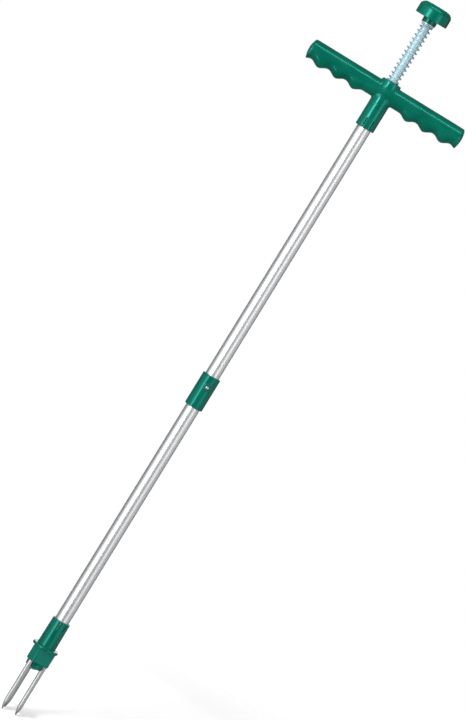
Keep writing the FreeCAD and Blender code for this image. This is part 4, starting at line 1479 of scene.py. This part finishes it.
@dataclass
class Base:
    """The base socket and the tine block under it."""

    skinner: Skinner = Skinner(0.00042)
    tines: TineSet = field(default_factory=TineSet)
    flange: float = 0.0037
    flange_edge: float = 0.0008
    fillet: float = 0.0016
    wall_top: float = 0.0023
    taper: float = 0.0005
    rim_edge: float = 0.0007
    mouth_edge: float = 0.0006
    floor: float = 0.0089
    slit_run_out: float = 0.004
    slit_width: float = 0.0014
    slit_length: float = 0.0115
    tongue: float = 21.0
    spread: float = 24.0
    guide: float = 0.00555
    flat: float = 0.0130
    corner: float = 0.0161
    corner_edge: float = 0.0015
    rim_edge: float = 0.0007
    sides: int = 6
    rod_hole: float = 0.0043
    tine_gap: float = 0.00005
    screw_hole: float = 0.0016
    screw_recess: float = 0.0029
    screw_circle: float = 0.0093
    recess_depth: float = 0.0032

    def socket(self) -> bpy.types.Object:
        """The tapering sleeve that grips the lower tube, on its flange.

        Returns:
            The socket.
        """
        near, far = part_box("base_socket")
        bore = high("lower_tube").x + SEATED
        shoulder = near.z + self.flange
        disc = max(far.x, far.y)

        def sleeve(x: np.ndarray, y: np.ndarray, z: np.ndarray) -> np.ndarray:
            """Distance to the tapering sleeve.

            Args:
                x: how far to the right each point is, in metres.
                y: how far back each point is, in metres.
                z: how high each point is, in metres.

            Returns:
                Distances in metres, below 0 inside the solid.
            """
            down = np.clip((far.z - z) / (far.z - shoulder), 0, 1)
            side = np.hypot(x, y) - bore - self.wall_top - self.taper * down
            return soft_max(side, np.maximum(z - far.z, near.z - z), self.rim_edge)

        solid = Solid(sleeve).join(post(disc, near.z, shoulder, self.flange_edge), self.fillet)
        solid = solid.cut(post(bore, near.z + self.floor, far.z + WELL_PAST), self.mouth_edge)
        solid = solid.cut(post(self.guide, near.z - PAST, near.z + self.floor + PAST), FINE_EDGE)
        for side in (-1, 1):
            angle = self.tongue + side * self.spread
            slot = slit(self.slit_width, far.z - self.slit_length, far.z + self.slit_run_out, angle)
            solid = solid.cut(slot, EDGE)
        piece = self.skinner.skin("base_socket_sleeve", solid, near, far)
        return dress(piece, Finish.UPRIGHT, Body.FRAME, "base_socket")

    def block(self) -> bpy.types.Object:
        """A triangular block with cut-off corners, bored for the tines and the push rod.

        Returns:
            The block.
        """
        near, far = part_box("tine_block")

        def prism(x: np.ndarray, y: np.ndarray, z: np.ndarray) -> np.ndarray:
            """Distance to the six upright faces and the two ends.

            Args:
                x: how far to the right each point is, in metres.
                y: how far back each point is, in metres.
                z: how high each point is, in metres.

            Returns:
                Distances in metres, below 0 inside the solid.
            """
            sides = np.full(np.shape(x), -1.0)
            for number in range(self.sides):
                turn = math.radians(self.tines.first_angle + 360 * number / self.sides)
                face = self.corner if number % 2 == 0 else self.flat
                sides = soft_max(sides, x * math.sin(turn) - y * math.cos(turn) - face, self.corner_edge)
            return soft_max(sides, np.maximum(near.z - z, z - far.z), self.rim_edge)

        solid = Solid(prism)
        solid = solid.cut(post(self.rod_hole, near.z - PAST, far.z + PAST), SMALL_EDGE)
        for angle in self.tines.angles:
            at = TineSet.on_circle(self.tines.circle, angle)
            bore = self.tines.radius + self.tine_gap
            solid = solid.cut(post(bore, near.z - PAST, far.z + PAST, at=at), SMALL_EDGE)
            at = TineSet.on_circle(self.screw_circle, angle + 360 / self.sides)
            recess = post(self.screw_recess, near.z - PAST, near.z + self.recess_depth, at=at)
            solid = solid.cut(recess, FINE_EDGE)
            solid = solid.cut(post(self.screw_hole, near.z, far.z + PAST, at=at))
        piece = self.skinner.skin("tine_block_moulding", solid, near, far)
        return dress(piece, Finish.UPRIGHT, Body.FRAME, "tine_block")

    def build(self) -> Iterator[bpy.types.Object]:
        """Makes and finishes the base's pieces.

        Yields:
            Each piece.
        """
        yield self.socket()
        yield self.block()
        yield refinish("rod_guide_bush", Finish.BUSH)
        yield refinish("base_screws", Finish.FASTENER)
        yield from self.tines.build()


# ---------------------------------------------------------------- studio


@dataclass(frozen=True)
class Softbox:
    """A soft light, placed by its direction from the tool."""

    name: str
    azimuth: float
    elevation: float
    distance: float
    width: float
    height: float
    radiance: float
    colour: Colour = (1.0, 1.0, 1.0)
    glossy: bool = True
    aim_high: bool = False

    def place(self, aim: Vector) -> bpy.types.Object:
        """Makes the light and turns it to a point.

        Args:
            aim: the point that it faces.

        Returns:
            The light's object.
        """
        light = bpy.data.lights.new(self.name, "AREA")
        light.shape = "RECTANGLE"
        light.size, light.size_y = self.width, self.height
        light.energy = self.radiance * math.pi * self.width * self.height
        light.color = self.colour
        lamp = bpy.data.objects.new(self.name, light)
        bpy.context.scene.collection.objects.link(lamp)
        side, rise = math.radians(self.azimuth), math.radians(self.elevation)
        outward = Vector((math.sin(side) * math.cos(rise), -math.cos(side) * math.cos(rise), math.sin(rise)))
        lamp.location = aim + outward * self.distance
        lamp.rotation_euler = outward.to_track_quat("Z", "Y").to_euler()
        lamp.visible_camera = False
        lamp.visible_glossy = self.glossy
        return lamp


@dataclass
class Studio:
    """The floor, the lights and the camera."""

    lights: tuple[Softbox, ...] = (
        Softbox("key", -34, -3, 1.8, 0.60, 2.5, 7.5),
        Softbox("left_wall", -57, -3, 1.9, 0.85, 2.5, 1.15),
        Softbox("far_left", -84, -3, 1.9, 0.95, 2.5, 0.42),
        Softbox("right_strip", 47, -3, 1.9, 1.25, 2.5, 1.5),
        Softbox("right_core", 45, -2, 1.7, 0.22, 0.4, 4.5, aim_high=True),
        Softbox("right_wall", 98, -3, 1.9, 1.6, 2.5, 0.55),
        Softbox("back_fill", 180, 4, 2.0, 1.4, 2.2, 1.8),
        Softbox("top_strip", -10, 62, 1.3, 1.5, 0.15, 12.0, aim_high=True),
        Softbox("hub_light", -33, -2, 1.75, 0.40, 0.3, 14.0, aim_high=True),
        Softbox("shadow_light", -18.0, 50, 2.4, 0.22, 0.22, 290.0, glossy=False),
    )
    floor_radius: float = 1.5
    floor_drop: float = 0.0004
    floor_rings: int = 24
    floor_steps: int = 96
    floor_marks: float = 60.0
    floor_shade: Colour = (0.80, 0.80, 0.80)
    floor_clear: float = 0.45
    floor_colour: Colour = (0.86, 0.86, 0.86)
    floor_glow: float = 0.25
    surround: float = 0.12
    camera_distance: float = 5.4
    camera_rise: float = 0.482
    camera_side: float = 0.0117
    aim_rise: float = 0.0090
    lean: float = 31.55
    lens: float = 219.6

    def floor(self) -> bpy.types.Object:
        """A pale round floor under the tines that fades out into the background.

        Returns:
            The floor.
        """
        rings, around = self.floor_rings, self.floor_steps
        points = [(0.0, 0.0, -self.floor_drop)]
        for ring in range(1, rings + 1):
            radius = self.floor_radius * ring / rings
            for step in range(around):
                turn = 2 * math.pi * step / around
                points.append((radius * math.cos(turn), radius * math.sin(turn), -self.floor_drop))
        faces = [(0, 1 + step, 1 + (step + 1) % around) for step in range(around)]
        quads = sweep_grid(rings, around, False, True)
        faces += [tuple(1 + corner for corner in face[::-1]) for face in quads]
        floor = new_piece("studio_floor", np.array(points), faces)
        board = Board("pale_floor")
        reach = board.add("ShaderNodeVectorMath", operation="LENGTH")
        board.feed(reach.inputs[0], board.where)
        paper = board.span(board.noise(self.floor_marks, 5.0), 0.3, 0.7, 0.93, 0.97)
        fade = board.span(reach.outputs["Value"], self.floor_clear, self.floor_radius * 0.95, 1.0, 0.0)
        tint = board.mix(paper, self.floor_shade, self.floor_colour)
        board.set(Base_Color=tint, Roughness=0.9, Alpha=fade, Emission_Strength=self.floor_glow)
        board.set(Emission_Color=(1.0, 1.0, 1.0, 1.0), Specular_IOR_Level=0.1)
        floor.data.materials.append(board.material)
        floor.visible_glossy = False
        floor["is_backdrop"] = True
        return floor

    def world(self) -> None:
        """A white background, which lights the tool as a dimmer grey surround."""
        world = bpy.data.worlds.new("studio")
        world.use_nodes = True
        bpy.context.scene.world = world
        nodes, links = world.node_tree.nodes, world.node_tree.links
        ground = nodes["Background"]
        ground.inputs["Color"].default_value = (1.0, 1.0, 1.0, 1.0)
        ground.inputs["Strength"].default_value = self.surround
        seen = nodes.new("ShaderNodeBackground")
        seen.inputs["Color"].default_value = (1.0, 1.0, 1.0, 1.0)
        path, mix = nodes.new("ShaderNodeLightPath"), nodes.new("ShaderNodeMixShader")
        links.new(path.outputs["Is Camera Ray"], mix.inputs["Fac"])
        links.new(ground.outputs["Background"], mix.inputs[1])
        links.new(seen.outputs["Background"], mix.inputs[2])
        links.new(mix.outputs["Shader"], nodes["World Output"].inputs["Surface"])
        bpy.context.scene.view_settings.view_transform = "Standard"

    def camera(self) -> bpy.types.Object:
        """The camera, rolled so that the tool leans to the right.

        Returns:
            The camera.
        """
        near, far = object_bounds()
        aim = Vector((self.camera_side, 0.0, (near.z + far.z) / 2 + self.aim_rise))
        place = Vector((self.camera_side, -self.camera_distance, aim.z + self.camera_rise))
        back = (place - aim).normalized()
        right = Vector((0, 0, 1)).cross(back).normalized()
        up = back.cross(right)
        roll = math.radians(self.lean)
        rolled_right = right * math.cos(roll) + up * math.sin(roll)
        rolled_up = up * math.cos(roll) - right * math.sin(roll)
        camera = bpy.data.objects.new("camera", bpy.data.cameras.new("camera"))
        camera.data.lens = self.lens
        turn = Matrix((rolled_right, rolled_up, back)).transposed().to_4x4()
        camera.matrix_world = Matrix.Translation(place) @ turn
        bpy.context.scene.collection.objects.link(camera)
        bpy.context.scene.camera = camera
        return camera

    def set_up(self) -> None:
        """Builds the whole studio round the tool."""
        near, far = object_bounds()
        middle = Vector((0.0, 0.0, (near.z + far.z) / 2))
        handle = Vector((0.0, 0.0, high("t_handle").z))
        for softbox in self.lights:
            softbox.place(handle if softbox.aim_high else middle)
        self.floor()
        self.world()
        self.camera()


def main() -> None:
    """Builds every sub-assembly in order, then the studio."""
    logging.basicConfig(level=logging.INFO, format="%(message)s")
    for assembly in (Plunger(), ReturnSpring(), Handle(), Shaft(), Base()):
        for piece in assembly.build():
            LOG.info("%s: %s, %d faces", type(assembly).__name__, piece.name, len(piece.data.polygons))
    Studio().set_up()


if __name__ == "__main__":
    main()
